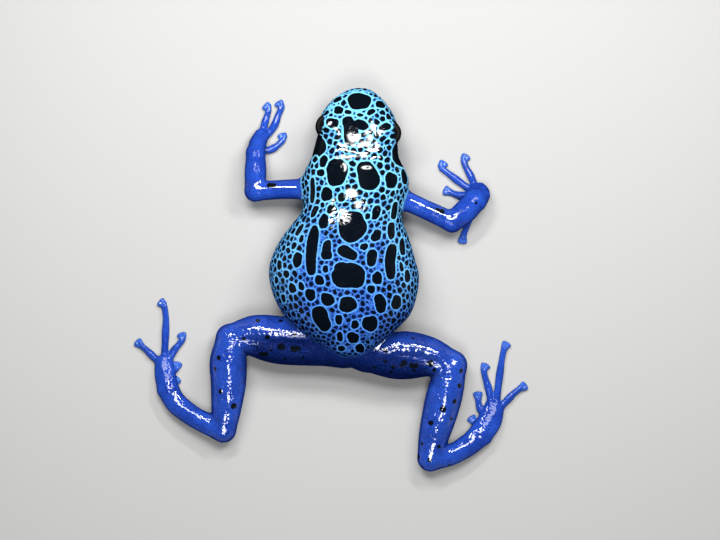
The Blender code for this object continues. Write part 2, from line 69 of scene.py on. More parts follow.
# Body from the vent to the snout: y, middle x, half width, height of the widest line,
# height of the back, height of the belly. In the head the widest line is the mouth.
BODY = [
    (-11.95, 3.15, 0.0, 6.3, 6.3, 6.3),
    (-11.5, 3.1, 1.7, 6.1, 7.5, 4.8),
    (-10.6, 2.95, 3.3, 5.8, 8.7, 3.2),
    (-9.0, 2.75, 5.6, 5.4, 10.2, 1.5),
    (-7.4, 2.65, 7.6, 5.1, 11.4, 0.6),
    (-5.2, 2.55, 9.8, 4.8, 12.6, 0.0),
    (-2.4, 2.3, 11.1, 4.7, 13.5, -0.3),
    (0.9, 2.1, 11.7, 4.7, 13.8, -0.4),
    (3.6, 1.95, 11.2, 4.8, 13.5, -0.3),
    (6.5, 2.25, 10.1, 5.0, 12.8, -0.1),
    (9.0, 2.7, 8.7, 5.2, 12.2, 0.2),
    (11.2, 3.3, 7.7, 5.4, 11.7, 0.5),
    (13.4, 3.7, 7.9, 5.5, 11.3, 0.8),
    (15.6, 3.9, 8.3, 5.5, 11.0, 1.0),
    (17.4, 3.85, 7.8, 5.4, 10.7, 1.2),
    (19.2, 3.85, 6.9, 5.1, 10.4, 1.5),
    (21.2, 4.0, 6.4, 4.8, 10.1, 1.8),
    (23.5, 4.25, 6.15, 4.6, 9.7, 2.0),
    (25.6, 4.2, 5.75, 4.6, 9.1, 2.2),
    (27.0, 4.2, 5.0, 4.65, 8.4, 2.5),
    (28.3, 4.25, 3.95, 4.7, 7.6, 2.9),
    (29.3, 4.4, 2.75, 4.75, 6.8, 3.3),
    (29.95, 4.5, 1.6, 4.8, 6.1, 3.9),
    (30.3, 4.6, 0.0, 4.9, 4.9, 4.9),
]
NECK_Y = 18.6
BACK_ROUNDNESS = 2.1
BELLY_ROUNDNESS = 2.4
CROWN_ROUNDNESS = 2.6
CHIN_ROUNDNESS = 2.1
RUMP_CENTRE = (3.9, -11.2, 4.0)
RUMP_HALF_SIZE = (4.6, 2.1, 2.7)
RUMP_BLEND = 1.6

# Each limb station: x, y, z, half width across, half height.
UPPER_ARM = {
    "left": [(-2.0, 14.6, 4.9, 1.7, 1.7), (-7.6, 14.45, 4.2, 1.5, 1.5), (-11.85, 14.2, 3.5, 1.55, 1.5)],
    "right": [(9.0, 13.9, 4.9, 1.7, 1.7), (14.2, 11.6, 4.2, 1.5, 1.5), (19.0, 9.4, 3.5, 1.6, 1.5)],
}
FOREARM = {
    "left": [(-11.85, 14.2, 3.5, 1.55, 1.5), (-11.75, 17.3, 3.3, 1.7, 1.6), (-11.75, 20.2, 2.7, 1.45, 1.3)],
    "right": [(19.0, 9.4, 3.5, 1.6, 1.5), (20.95, 10.95, 3.3, 1.85, 1.65), (22.7, 12.85, 2.7, 1.75, 1.35)],
}
PALM = {
    "left": [(-11.75, 20.2, 2.7, 1.45, 1.3), (-11.4, 21.8, 1.5, 1.35, 1.25), (-10.8, 23.1, 0.85, 1.15, 0.9)],
    "right": [(22.7, 12.85, 2.7, 1.75, 1.35), (23.3, 13.7, 1.6, 1.7, 1.35), (22.9, 14.5, 0.9, 1.5, 0.95)],
}
THIGH = {
    "left": [
        (1.5, -10.6, 4.3, 2.6, 2.6),
        (-4.0, -9.8, 4.0, 3.35, 2.9),
        (-8.2, -9.1, 3.9, 3.75, 3.0),
        (-12.0, -8.5, 3.8, 3.3, 2.7),
        (-15.65, -8.85, 3.7, 2.2, 2.25),
    ],
    "right": [
        (6.0, -11.6, 4.3, 2.6, 2.6),
        (9.4, -11.6, 4.0, 3.55, 2.9),
        (12.2, -11.5, 3.9, 3.75, 3.0),
        (15.5, -11.8, 3.8, 3.15, 2.7),
        (18.95, -13.1, 3.7, 2.3, 2.3),
    ],
}
SHIN = {
    "left": [
        (-15.65, -8.85, 3.7, 2.2, 2.25),
        (-16.0, -12.4, 3.7, 2.9, 2.6),
        (-16.0, -16.0, 3.3, 2.75, 2.4),
        (-16.4, -20.4, 2.6, 2.3, 2.0),
        (-16.8, -23.3, 2.1, 1.9, 1.8),
    ],
    "right": [
        (18.95, -13.1, 3.7, 2.3, 2.3),
        (18.0, -17.0, 3.7, 2.8, 2.6),
        (17.1, -20.6, 3.3, 2.75, 2.4),
        (16.1, -24.6, 2.6, 2.35, 2.0),
        (15.6, -27.8, 2.1, 1.95, 1.8),
    ],
}
TARSUS = {
    "left": [
        (-16.8, -23.3, 2.1, 1.9, 1.8),
        (-20.8, -21.6, 1.8, 1.65, 1.5),
        (-24.0, -19.3, 1.5, 1.7, 1.3),
        (-25.6, -16.9, 1.2, 1.65, 1.15),
    ],
    "right": [
        (15.6, -27.8, 2.1, 1.95, 1.8),
        (18.8, -27.2, 1.8, 1.7, 1.5),
        (21.4, -25.8, 1.5, 1.75, 1.3),
        (23.6, -24.0, 1.2, 1.85, 1.15),
    ],
}
SOLE = {
    "left": [(-25.6, -16.9, 1.2, 1.65, 1.15), (-26.1, -14.2, 0.85, 1.6, 0.9), (-26.2, -12.2, 0.65, 1.3, 0.7)],
    "right": [(23.6, -24.0, 1.2, 1.85, 1.15), (25.0, -21.8, 0.9, 1.9, 0.95), (25.8, -19.4, 0.65, 1.5, 0.7)],
}

# Digits, thumb side first: the plan points from the root to the tip.
FINGERS = {
    "left": [
        [(-11.6, 21.6), (-11.3, 19.5), (-11.0, 17.8), (-10.9, 16.6)],
        [(-11.2, 21.2), (-9.9, 20.7), (-8.65, 21.25), (-7.6, 22.3), (-7.75, 23.4)],
        [(-10.8, 22.4), (-9.1, 24.1), (-8.4, 25.9), (-7.8, 27.3), (-8.35, 28.4)],
        [(-11.0, 22.8), (-10.4, 24.8), (-9.85, 27.0), (-10.45, 27.9)],
    ],
    "right": [
        [(22.9, 13.7), (22.2, 11.4), (21.5, 9.1), (20.9, 7.4), (20.65, 6.0)],
        [(22.2, 13.9), (20.4, 13.6), (18.8, 14.1), (17.7, 14.5)],
        [(22.4, 14.2), (20.55, 15.5), (18.3, 17.2), (17.45, 18.0), (17.95, 18.95)],
        [(22.9, 14.2), (22.2, 16.2), (21.0, 18.7), (21.45, 20.0)],
    ],
}
TOES = {
    "left": [
        [(-25.6, -16.6), (-24.7, -15.9), (-23.9, -15.1)],
        [(-25.8, -15.0), (-24.5, -13.9), (-24.0, -12.6)],
        [(-25.8, -13.2), (-24.7, -10.9), (-23.4, -9.2), (-23.6, -8.0)],
        [(-26.2, -12.8), (-26.0, -8.6), (-25.95, -5.0), (-26.35, -3.6), (-27.05, -3.05)],
        [(-26.5, -13.2), (-28.5, -11.2), (-30.65, -9.3)],
    ],
    "right": [
        [(23.8, -23.2), (22.8, -22.4), (21.9, -21.2)],
        [(24.6, -21.6), (23.4, -19.8), (23.1, -17.3)],
        [(25.3, -20.0), (24.9, -17.2), (24.1, -14.3), (24.5, -12.9)],
        [(26.0, -19.6), (26.4, -15.9), (27.1, -11.2), (27.8, -9.5)],
        [(26.3, -20.2), (28.9, -17.5), (30.8, -16.2)],
    ],
}
ROOT_HALF_WIDTH = 0.62
DIGIT_HALF_WIDTH = 0.55
KNUCKLE_HALF_WIDTH = 0.6
NARROW_HALF_WIDTH = 0.49
DISC_HALF_WIDTH = 0.8
DISC_HALF_HEIGHT = 0.36
DISC_LENGTH = 1.25
SCUTE_HEIGHT = 0.07
SCUTE_GAP_DEPTH = 0.06
# How far the underside of a digit lies below the floor, where the skin is cut flat.
SUNK = 0.12
# How widely each part blends into the rest.
LIMB_BLEND = 0.5
SHIN_BLEND = 0.55
TARSUS_BLEND = 0.6
DIGIT_BLEND = 0.32
DIGIT_PIECES = 22
THIGH_FURROW_DEPTH = 0.4
THIGH_MUSCLE_HEIGHT = 0.34
SHIN_FURROW_DEPTH = 0.06

SIDES = ("left", "right")
EYE_RADIUS = 2.08
EYE_CENTRE = {"left": (-0.25, 24.15, 6.9), "right": (8.95, 23.15, 6.9)}
EYE_AIM = {"left": (-1.0, 0.18, 0.15), "right": (1.0, 0.06, 0.15)}
LID_THICKNESS = 0.2
# Half width and half height of the lids' opening and of the lids, seen along the eye's aim,
# as shares of the depth, and what makes those measures close to mm.
LID_SPREAD = (1.2, 1.34)
LID_REACH = (1.9, 2.2)
SPREAD_TO_MM = 0.78
REACH_TO_MM = 0.9
BROW_BLEND = 1.0
LID_END_BLEND = 0.45
LID_RIM_HEIGHT = 0.05
LID_RIM_BLEND = 0.12
NOSTRIL = {"left": (2.0, 28.95, 6.35), "right": (6.95, 28.8, 6.35)}
NOSTRIL_RADIUS = 0.27
NOSTRIL_RIM_HEIGHT = 0.07
NOSTRIL_BLEND = 0.1
EARDRUM = {"left": (-2.2, 20.9, 6.2), "right": (10.3, 19.95, 5.9)}
EARDRUM_RADIUS = 0.85
EARDRUM_RING_DEPTH = 0.06
EARDRUM_MIDDLE_DEPTH = 0.03
MOUTH_BACK_Y = 19.8
MOUTH_DEPTH = 0.26
MOUTH_HALF_WIDTH = 0.15
LIP_HEIGHT = 0.07
JAW_INSET = 0.04
# The folds of the nape: y, height and half width. They sway from side to side.
NAPE_FOLDS = [(20.2, 0.09, 0.55), (18.6, 0.05, 0.5)]
NAPE_SWAY = 0.25

# The photo looks straight down. A pixel is this long on the frog, and this pixel is the origin.
PIXEL = 0.156
PHOTO_ORIGIN = (330.5, 282.0)
PHOTO_SIZE = (720, 540)
CAMERA_HEIGHT = 600.0
# The height above the floor at which a pixel has that length.
PHOTO_PLANE = 5.0
SENSOR_WIDTH = 36.0

# Colours of the net, from dim to bright, of the limbs, and of the eyes and floor.
ROYAL = (0.02, 0.06, 0.45)
SKY = (0.03, 0.19, 0.6)
AZURE = (0.1, 0.35, 1.0)
CYAN = (0.24, 0.72, 1.0)
COBALT = (0.013, 0.05, 0.36)
COBALT_LIGHT = (0.021, 0.08, 0.5)
# Painted shade for the rear of the thighs and round the vent.
SHADE_COBALT = (0.005, 0.017, 0.125)
FLECK = (0.0015, 0.004, 0.025)
DUSK = (0.003, 0.014, 0.1)
PALE_BLUE = (0.09, 0.27, 0.85)
# Painted shade for creases, the thighs' furrow, and the sides and undersides of the limbs.
SHADE_NAVY = (0.004, 0.012, 0.09)
BLACK = (0.0022, 0.004, 0.0075)
IRIS_DARK = (0.0025, 0.002, 0.002)
IRIS_LIGHT = (0.0055, 0.0035, 0.0025)
FLOOR_GREY = (0.47, 0.466, 0.458)
SKY_WHITE = (0.93, 0.97, 1.0)
# The studio's brightness at the level of the horizon, and from this height up.
HORIZON_STRENGTH = 0.22
OVERHEAD_STRENGTH = 0.025
OVERHEAD_FROM = 0.5
COAT_IOR = 2.0
EYE_COAT_IOR = 1.5
# The lamps: place, target, width, height and power in watts.
LAMPS = {
    "front_left": ((-34, 74, 108), (0, 15, 5), 60, 12, 0.09),
    "front_right": ((62, 74, 108), (8, 15, 5), 60, 12, 0.09),
    "top": ((14, 108, 300), (3, 15, 5), 200, 70, 0.58),
    "rear": ((0, -105, 290), (0, -15, 5), 90, 120, 0.38),
}


def smooth_step(low, high, value):
    """Rises smoothly from 0 at low to 1 at high, also where high is less than low."""
    t = np.clip((value - low) / (high - low), 0.0, 1.0)
    return t * t * (3.0 - 2.0 * t)


def bump(value, width):
    """A smooth bump of height 1 round zero."""
    return np.exp(-((value / width) ** 2))


def blend(a, b, reach):
    """Smooth union of two distance fields, rounded over the reach."""
    share = np.clip(0.5 + 0.5 * (b - a) / reach, 0.0, 1.0)
    return b + (a - b) * share - reach * share * (1.0 - share)


def carve(a, b, reach):
    """Takes the inside of b away from a, with a rounded rim."""
    return -blend(-a, b, reach)


def spline(rows, count=None):
    """Catmull-Rom curve through the rows, as count rows at even steps along its own length."""
    rows = np.array(rows, float)
    padded = np.vstack([2 * rows[0] - rows[1], rows, 2 * rows[-1] - rows[-2]])
    fine = []
    for start in range(len(rows) - 1):
        a, b, c, d = padded[start : start + 4]
        for t in np.linspace(0, 1, 24, endpoint=False):
            bent = 2 * b + (c - a) * t + (2 * a - 5 * b + 4 * c - d) * t**2
            fine.append(0.5 * (bent + (3 * b - a - 3 * c + d) * t**3))
    fine = np.array(fine + [rows[-1]])
    if count is None:
        return fine
    length = np.concatenate([[0], np.cumsum(np.linalg.norm(np.diff(fine, axis=0), axis=1))])
    steps = np.linspace(0, length[-1], count)
    return np.stack([np.interp(steps, length, column) for column in fine.T], axis=1)


class Grid:
    """A block of grid points with their coordinates and the field on them."""

    def __init__(self, low, high):
        self.low = np.array(low, float)
        self.shape = tuple(int(n) for n in np.ceil((np.array(high) - self.low) / STEP) + 1)
        self.field = np.full(self.shape, FAR, np.float32)

    def window(self, low, high):
        """Slices of the block between two corners, and x, y and z there, ready to broadcast."""
        start = np.clip(np.floor((np.array(low) - self.low) / STEP).astype(int), 0, self.shape)
        stop = np.clip(np.ceil((np.array(high) - self.low) / STEP).astype(int) + 1, 0, self.shape)
        slices = tuple(slice(a, b) for a, b in zip(start, stop))
        axes = [(self.low[k] + STEP * np.arange(start[k], stop[k])).astype(np.float32) for k in range(3)]
        return slices, np.meshgrid(*axes, indexing="ij", sparse=True)

    def sample(self, points):
        """The field at the points, in mm, by linear steps between grid points."""
        at = (points - self.low) / STEP
        at = np.clip(at, 0, np.array(self.shape) - 1.001)
        cell = at.astype(int)
        part = at - cell
        total = np.zeros(len(points))
        for corner in range(8):
            step = np.array([(corner >> k) & 1 for k in range(3)])
            weight = np.prod(np.where(step, part, 1 - part), axis=1)
            total += weight * self.field[tuple((cell + step).T)]
        return total


BODY_CURVE = spline(BODY)


def body_rows(y):
    """Middle x, half width, widest height, back height and belly height at y."""
    return [np.interp(y, BODY_CURVE[:, 0], BODY_CURVE[:, k]) for k in range(1, 6)]


def roundness(y):
    """How square the body's section is at y, over and under its widest line."""
    share = np.clip((y - NECK_Y + 4.0) / 8.0, 0.0, 1.0)
    over = BACK_ROUNDNESS + (CROWN_ROUNDNESS - BACK_ROUNDNESS) * share
    under = BELLY_ROUNDNESS + (CHIN_ROUNDNESS - BELLY_ROUNDNESS) * share
    return over, under


def body_field(grid):
    """Adds the trunk and head."""
    low = (BODY_CURVE[:, 1] - BODY_CURVE[:, 2]).min() - 1.6
    high = (BODY_CURVE[:, 1] + BODY_CURVE[:, 2]).max() + 1.6
    slices, (x, y, z) = grid.window((low, BODY[0][0] - 1.5, -1), (high, BODY[-1][0] + 1.5, 15))
    inner_y = np.clip(y, BODY[0][0], BODY[-1][0])
    middle, half, wide, back, belly = body_rows(inner_y)
    over, under = roundness(inner_y)
    half = np.maximum(half, 0.02)
    inset = JAW_INSET * smooth_step(MOUTH_BACK_Y - 1.0, MOUTH_BACK_Y + 2.0, y)
    jaw = 1.0 - inset * smooth_step(0.05, -0.35, z - wide)
    u = np.abs(x - middle) / (half * jaw)
    v = z - wide
    up = np.maximum(back - wide, 0.02)
    down = np.maximum(wide - belly, 0.02)
    power = np.where(v > 0, over, under).astype(np.float32)
    v = np.abs(v) / np.where(v > 0, up, down)
    scale = np.sqrt(half * (up + down) / 2)
    f = (((u**power + v**power) ** (1 / power) - 1.0) * scale).astype(np.float32)
    slopes = np.gradient(f, STEP)
    steepness = np.sqrt(slopes[0] ** 2 + slopes[1] ** 2 + slopes[2] ** 2)
    distance = f / np.maximum(steepness, 0.2)
    past = y - inner_y
    distance = np.where(past == 0, distance, np.hypot(np.maximum(distance, 0), past))
    distance = np.clip(distance, -FAR, FAR).astype(np.float32)
    grid.field[slices] = np.minimum(grid.field[slices], distance)


def ball_field(x, y, z, centre, half_size):
    """Distance to an ellipsoid, near enough close to its surface."""
    parts = [(axis - c) / h for axis, c, h in zip((x, y, z), centre, half_size)]
    reach = np.sqrt(parts[0] ** 2 + parts[1] ** 2 + parts[2] ** 2)
    slope = np.sqrt(sum((part / h) ** 2 for part, h in zip(parts, half_size)))
    return (reach - 1.0) * reach / np.maximum(slope, 1e-4)


def limb_field(grid, stations, count, reach, relief=None):
    """Adds a round-ended limb through the stations, blended over the reach.

    relief gets the share along the limb and the places across and up, as shares of the
    half width and half height, and returns how far the skin stands out there."""
    rows = spline(stations, count)
    size = rows[:, 3:5].max() + reach + 0.8
    slices, (x, y, z) = grid.window(rows[:, :3].min(0) - size, rows[:, :3].max(0) + size)
    shape = np.broadcast_shapes(x.shape, y.shape, z.shape)
    best = np.full(shape, np.inf, np.float32)
    names = ("across", "up", "beyond", "wide", "high", "along")
    kept = {name: np.zeros(shape, np.float32) for name in names}
    last = len(rows) - 2
    for k in range(len(rows) - 1):
        start, end = rows[k, :3], rows[k + 1, :3]
        length = np.linalg.norm(end - start)
        way = (end - start) / length
        side = np.cross(way, (0, 0, 1.0))
        side /= np.linalg.norm(side)
        up = np.cross(side, way)
        px, py, pz = x - start[0], y - start[1], z - start[2]
        along = px * way[0] + py * way[1] + pz * way[2]
        held = np.clip(along, 0.0, length)
        apart = px * px + py * py + pz * pz - 2 * along * held + held * held
        nearer = apart < best
        best = np.where(nearer, apart, best)
        share = held / length
        beyond = along - held
        if k > 0:
            beyond = np.maximum(beyond, 0.0)
        if k < last:
            beyond = np.minimum(beyond, 0.0)
        values = {
            "across": px * side[0] + py * side[1] + pz * side[2],
            "up": px * up[0] + py * up[1] + pz * up[2],
            "beyond": beyond,
            "wide": rows[k, 3] + (rows[k + 1, 3] - rows[k, 3]) * share,
            "high": rows[k, 4] + (rows[k + 1, 4] - rows[k, 4]) * share,
            "along": (k + share) / (len(rows) - 1),
        }
        for name, value in values.items():
            kept[name] = np.where(nearer, value, kept[name])
    a, b = kept["wide"], kept["high"]
    c = np.minimum(a, b)
    u, v, w = kept["across"] / a, kept["up"] / b, kept["beyond"] / c
    far = np.sqrt(u * u + v * v + w * w)
    slope = np.sqrt((u / a) ** 2 + (v / b) ** 2 + (w / c) ** 2)
    distance = (far - 1.0) * far / np.maximum(slope, 1e-4)
    if relief is not None:
        distance = distance - relief(kept["along"], u, v).astype(np.float32)
    distance = np.clip(distance, -FAR, FAR).astype(np.float32)
    grid.field[slices] = blend(grid.field[slices], distance, reach)


def digit_stations(plan):
    """Stations of a finger or toe that lies on the floor, with a widened disc at its tip."""
    path = spline([(x, y, 0.0) for x, y in plan], 60)
    length = np.concatenate([[0], np.cumsum(np.linalg.norm(np.diff(path, axis=0), axis=1))])
    disc = length[-1] - DISC_LENGTH
    marks = [
        (0.0, ROOT_HALF_WIDTH, ROOT_HALF_WIDTH),
        (0.30 * disc, DIGIT_HALF_WIDTH, DIGIT_HALF_WIDTH),
        (0.55 * disc, KNUCKLE_HALF_WIDTH, DIGIT_HALF_WIDTH),
        (0.80 * disc, NARROW_HALF_WIDTH, NARROW_HALF_WIDTH),
        (disc, NARROW_HALF_WIDTH * 1.05, NARROW_HALF_WIDTH * 0.95),
        (disc + 0.5 * DISC_LENGTH, DISC_HALF_WIDTH * 0.92, DISC_HALF_HEIGHT),
        (disc + 0.72 * DISC_LENGTH, DISC_HALF_WIDTH, DISC_HALF_HEIGHT),
    ]
    stations = []
    for at, half_width, half_height in marks:
        x, y = (np.interp(at, length, path[:, axis]) for axis in (0, 1))
        stations.append((x, y, half_height - SUNK, half_width, half_height))
    return stations


def thigh_relief(side):
    """Two long muscles with a furrow between them, which nears the rear towards the knee."""
    rear = -1.0 if side == "left" else 1.0

    def relief(along, across, up):
        top = smooth_step(0.1, 0.8, up)
        fade = smooth_step(0.1, 0.35, along) * smooth_step(1.0, 0.8, along)
        apart = across - rear * (0.35 * along - 0.1)
        furrow = -THIGH_FURROW_DEPTH * bump(apart, 0.17)
        return (furrow + THIGH_MUSCLE_HEIGHT * bump(np.abs(apart) - 0.54, 0.3)) * top * fade

    return relief


def shin_relief(along, across, up):
    """A faint furrow between the two muscles of the shin."""
    top = smooth_step(0.0, 0.8, up)
    furrow = -SHIN_FURROW_DEPTH * bump(across - 0.2, 0.16) * top
    return furrow * smooth_step(0.1, 0.3, along) * smooth_step(0.9, 0.6, along)


def disc_relief(along, across, up):
    """Two small scutes side by side on the disc at a digit's tip."""
    top = smooth_step(0.1, 0.7, up) * smooth_step(0.86, 0.93, along)
    scutes = SCUTE_HEIGHT * bump(np.abs(across) - 0.45, 0.3)
    return (scutes - SCUTE_GAP_DEPTH * bump(across, 0.14)) * top


def digits_field(grid, plans):
    for plan in plans:
        limb_field(grid, digit_stations(plan), DIGIT_PIECES, DIGIT_BLEND, disc_relief)


def limbs_field(grid, side):
    """Adds one side's arm and leg."""
    limb_field(grid, UPPER_ARM[side], 24, LIMB_BLEND)
    limb_field(grid, FOREARM[side], 20, LIMB_BLEND)
    limb_field(grid, PALM[side], 12, LIMB_BLEND)
    digits_field(grid, FINGERS[side])
    limb_field(grid, THIGH[side], 36, LIMB_BLEND, thigh_relief(side))
    limb_field(grid, SHIN[side], 32, SHIN_BLEND, shin_relief)
    limb_field(grid, TARSUS[side], 26, TARSUS_BLEND)
    limb_field(grid, SOLE[side], 14, LIMB_BLEND)
    digits_field(grid, TOES[side])


def eye_axes(side):
    """Where the eye looks, and the directions across and up as it sees them."""
    aim = np.array(EYE_AIM[side])
    aim /= np.linalg.norm(aim)
    across = np.cross(aim, (0, 0, 1.0))
    across /= np.linalg.norm(across)
    return aim, across, np.cross(across, aim)


def eye_opening(x, y, z, side):
    """Distance from the eye's middle, and distances to the rim of the lids and to where they end."""
    aim, across, up = eye_axes(side)
    px, py, pz = (axis - c for axis, c in zip((x, y, z), EYE_CENTRE[side]))
    reach = np.sqrt(px**2 + py**2 + pz**2)
    out = px * aim[0] + py * aim[1] + pz * aim[2]
    wide = px * across[0] + py * across[1] + pz * across[2]
    high = px * up[0] + py * up[1] + pz * up[2]
    rim = (np.hypot(wide / LID_SPREAD[0], high / LID_SPREAD[1]) - out) * SPREAD_TO_MM
    end = (np.hypot(wide / LID_REACH[0], high / LID_REACH[1]) - out) * REACH_TO_MM
    return reach, rim, end


def eye_details(grid, side):
    """Swells the head over the eye, lays the lids close round the ball and opens them."""
    centre = np.array(EYE_CENTRE[side])
    slices, (x, y, z) = grid.window(centre - 4.5, centre + 4.5)
    reach, rim, end = eye_opening(x, y, z, side)
    lid = reach - (EYE_RADIUS + LID_THICKNESS)
    field = blend(grid.field[slices], lid, BROW_BLEND)
    field = carve(field, np.maximum(end, -lid), LID_END_BLEND)
    field = field - LID_RIM_HEIGHT * bump(rim - 0.16, 0.14) * (reach > EYE_RADIUS - 0.5)
    grid.field[slices] = carve(field, rim, LID_RIM_BLEND)


def nostril(grid, side):
    """A small oval pit with a low rim, on the snout's side."""
    centre = settle(grid, np.array([NOSTRIL[side]], float), 40)[0]
    slices, (x, y, z) = grid.window(centre - 1.4, centre + 1.4)
    pit = ball_field(x, y, z, centre, [NOSTRIL_RADIUS, NOSTRIL_RADIUS * 1.35, NOSTRIL_RADIUS])
    field = grid.field[slices] - NOSTRIL_RIM_HEIGHT * bump(pit - 0.2, 0.22)
    grid.field[slices] = carve(field, pit, NOSTRIL_BLEND)


def eardrum(grid, side):
    """A faint ring with a slightly sunken middle."""
    centre = np.array(EARDRUM[side])
    slices, (x, y, z) = grid.window(centre - (3, 1.8, 1.8), centre + (3, 1.8, 1.8))
    away = np.hypot(y - centre[1], z - centre[2])
    ring = EARDRUM_RING_DEPTH * bump(away - EARDRUM_RADIUS, 0.18)
    inner = EARDRUM_MIDDLE_DEPTH * smooth_step(EARDRUM_RADIUS, EARDRUM_RADIUS * 0.5, away)
    grid.field[slices] = grid.field[slices] + ring + inner


def mouth(grid):
    """The line between the lips, and the upper lip's low edge."""
    slices, (x, y, z) = grid.window((-4, MOUTH_BACK_Y - 1, 2), (12, 31, 8))
    wide = body_rows(y)[2]
    fade = smooth_step(MOUTH_BACK_Y - 0.6, MOUTH_BACK_Y + 0.8, y)
    line = z - wide + 0.35 * smooth_step(MOUTH_BACK_Y + 2.5, MOUTH_BACK_Y - 0.5, y)
    dent = MOUTH_DEPTH * bump(line, MOUTH_HALF_WIDTH) * fade
    lip = LIP_HEIGHT * bump(line - 0.4, 0.28) * fade
    grid.field[slices] = grid.field[slices] + dent - lip


def nape_fold(grid):
    """A low fold of skin across the nape, and a fainter one behind it."""
    slices, (x, y, z) = grid.window((-6, 16, 7), (14, 23, 13))
    sway = NAPE_SWAY * np.sin(0.9 * x)
    fold = 0.0
    for (at, height, half_width), turned in zip(NAPE_FOLDS, (sway, -sway)):
        fold = fold + height * bump(y - at - turned, half_width)
    grid.field[slices] = grid.field[slices] - fold * smooth_step(7.5, 9.5, z)


def head_details(grid):
    nape_fold(grid)
    for side in SIDES:
        eye_details(grid, side)
        nostril(grid, side)
        eardrum(grid, side)
    mouth(grid)


def skin_surface(field, low):
    """Points and four-cornered faces of the zero surface, by surface nets."""
    inside = field < 0
    shape = np.array(field.shape) - 1
    mixed = np.zeros(shape, bool)
    first = inside[:-1, :-1, :-1]
    for corner in range(1, 8):
        i, j, k = [(corner >> axis) & 1 for axis in range(3)]
        mixed |= inside[i : i + shape[0], j : j + shape[1], k : k + shape[2]] != first
    cells = np.argwhere(mixed)
    number = np.full(shape, -1, np.int32)
    number[mixed] = np.arange(len(cells))
    total = np.zeros((len(cells), 3))
    crossings = np.zeros(len(cells))
    for axis in range(3):
        others = [a for a in range(3) if a != axis]
        for i in (0, 1):
            for j in (0, 1):
                step = np.zeros(3, int)
                step[others[0]] = i
                step[others[1]] = j
                start = cells + step
                end = start.copy()
                end[:, axis] += 1
                a = field[tuple(start.T)]
                b = field[tuple(end.T)]
                cut = (a < 0) != (b < 0)
                at = np.zeros(len(cells))
                at[cut] = a[cut] / (a[cut] - b[cut])
                place = start.astype(float)
                place[:, axis] += at
                total[cut] += place[cut]
                crossings += cut
    points = low + STEP * total / crossings[:, None]

    faces = []
    for axis in range(3):
        others = [a for a in range(3) if a != axis]
        ahead = [slice(None)] * 3
        ahead[axis] = slice(1, None)
        behind = [slice(None)] * 3
        behind[axis] = slice(None, -1)
        cut = inside[tuple(ahead)] != inside[tuple(behind)]
        edges = np.argwhere(cut)
        edges = edges[(edges[:, others[0]] > 0) & (edges[:, others[1]] > 0)]
        edges = edges[(edges[:, others[0]] < shape[others[0]]) & (edges[:, others[1]] < shape[others[1]])]
        starts_inside = inside[tuple(edges.T)]
        ring = []
        for i, j in ((0, 0), (1, 0), (1, 1), (0, 1)):
            cell = edges.copy()
            cell[:, others[0]] -= i
            cell[:, others[1]] -= j
            ring.append(number[tuple(cell.T)])
        ring = np.stack(ring, axis=1)
        turned = starts_inside if axis != 1 else ~starts_inside
        ring[~turned] = ring[~turned][:, ::-1]
        faces.append(ring)
    return points, np.vstack(faces)


def settle(grid, points, rounds=2):
    """Moves the points onto the zero surface."""
    for _ in range(rounds):
        value = grid.sample(points)
        slope = np.zeros_like(points)
        for axis in range(3):
            step = np.zeros(3)
            step[axis] = STEP * 0.5
            slope[:, axis] = (grid.sample(points + step) - grid.sample(points - step)) / STEP
        square = np.maximum((slope**2).sum(1), 0.05)
        move = slope * (value / square)[:, None]
        length = np.linalg.norm(move, axis=1)
        move *= np.minimum(1.0, 0.6 * STEP / np.maximum(length, 1e-9))[:, None]
        points = points - move
    return points


def mesh_object(name, points, faces):
    """A smooth-shaded mesh from arrays of points, in mm, and faces."""
    corners = faces.shape[1]
    mesh = bpy.data.meshes.new(name)
    mesh.vertices.add(len(points))
    mesh.vertices.foreach_set("co", ((points + TO_MIDDLE) * MM).astype(np.float32).ravel())
    mesh.loops.add(faces.size)
    mesh.loops.foreach_set("vertex_index", faces.astype(np.int32).ravel())
    mesh.polygons.add(len(faces))
    mesh.polygons.foreach_set("loop_start", np.arange(0, faces.size, corners, dtype=np.int32))
    mesh.update(calc_edges=True)
    mesh.shade_smooth()
    piece = bpy.data.objects.new(name, mesh)
    bpy.context.scene.collection.objects.link(piece)
    return piece


def relax(points, faces, rounds):
    """Evens out the small steps that the grid leaves, without shrinking the form."""
    pairs = np.vstack([faces[:, [k, (k + 1) % 4]] for k in range(4)])
    count = np.bincount(pairs.ravel(), minlength=len(points))[:, None]
    for amount in (0.5, -0.52) * rounds:
        total = np.empty_like(points)
        for axis in range(3):
            ahead = np.bincount(pairs[:, 0], points[pairs[:, 1], axis], len(points))
            behind = np.bincount(pairs[:, 1], points[pairs[:, 0], axis], len(points))
            total[:, axis] = ahead + behind
        points = points + amount * (total / count - points)
    return points


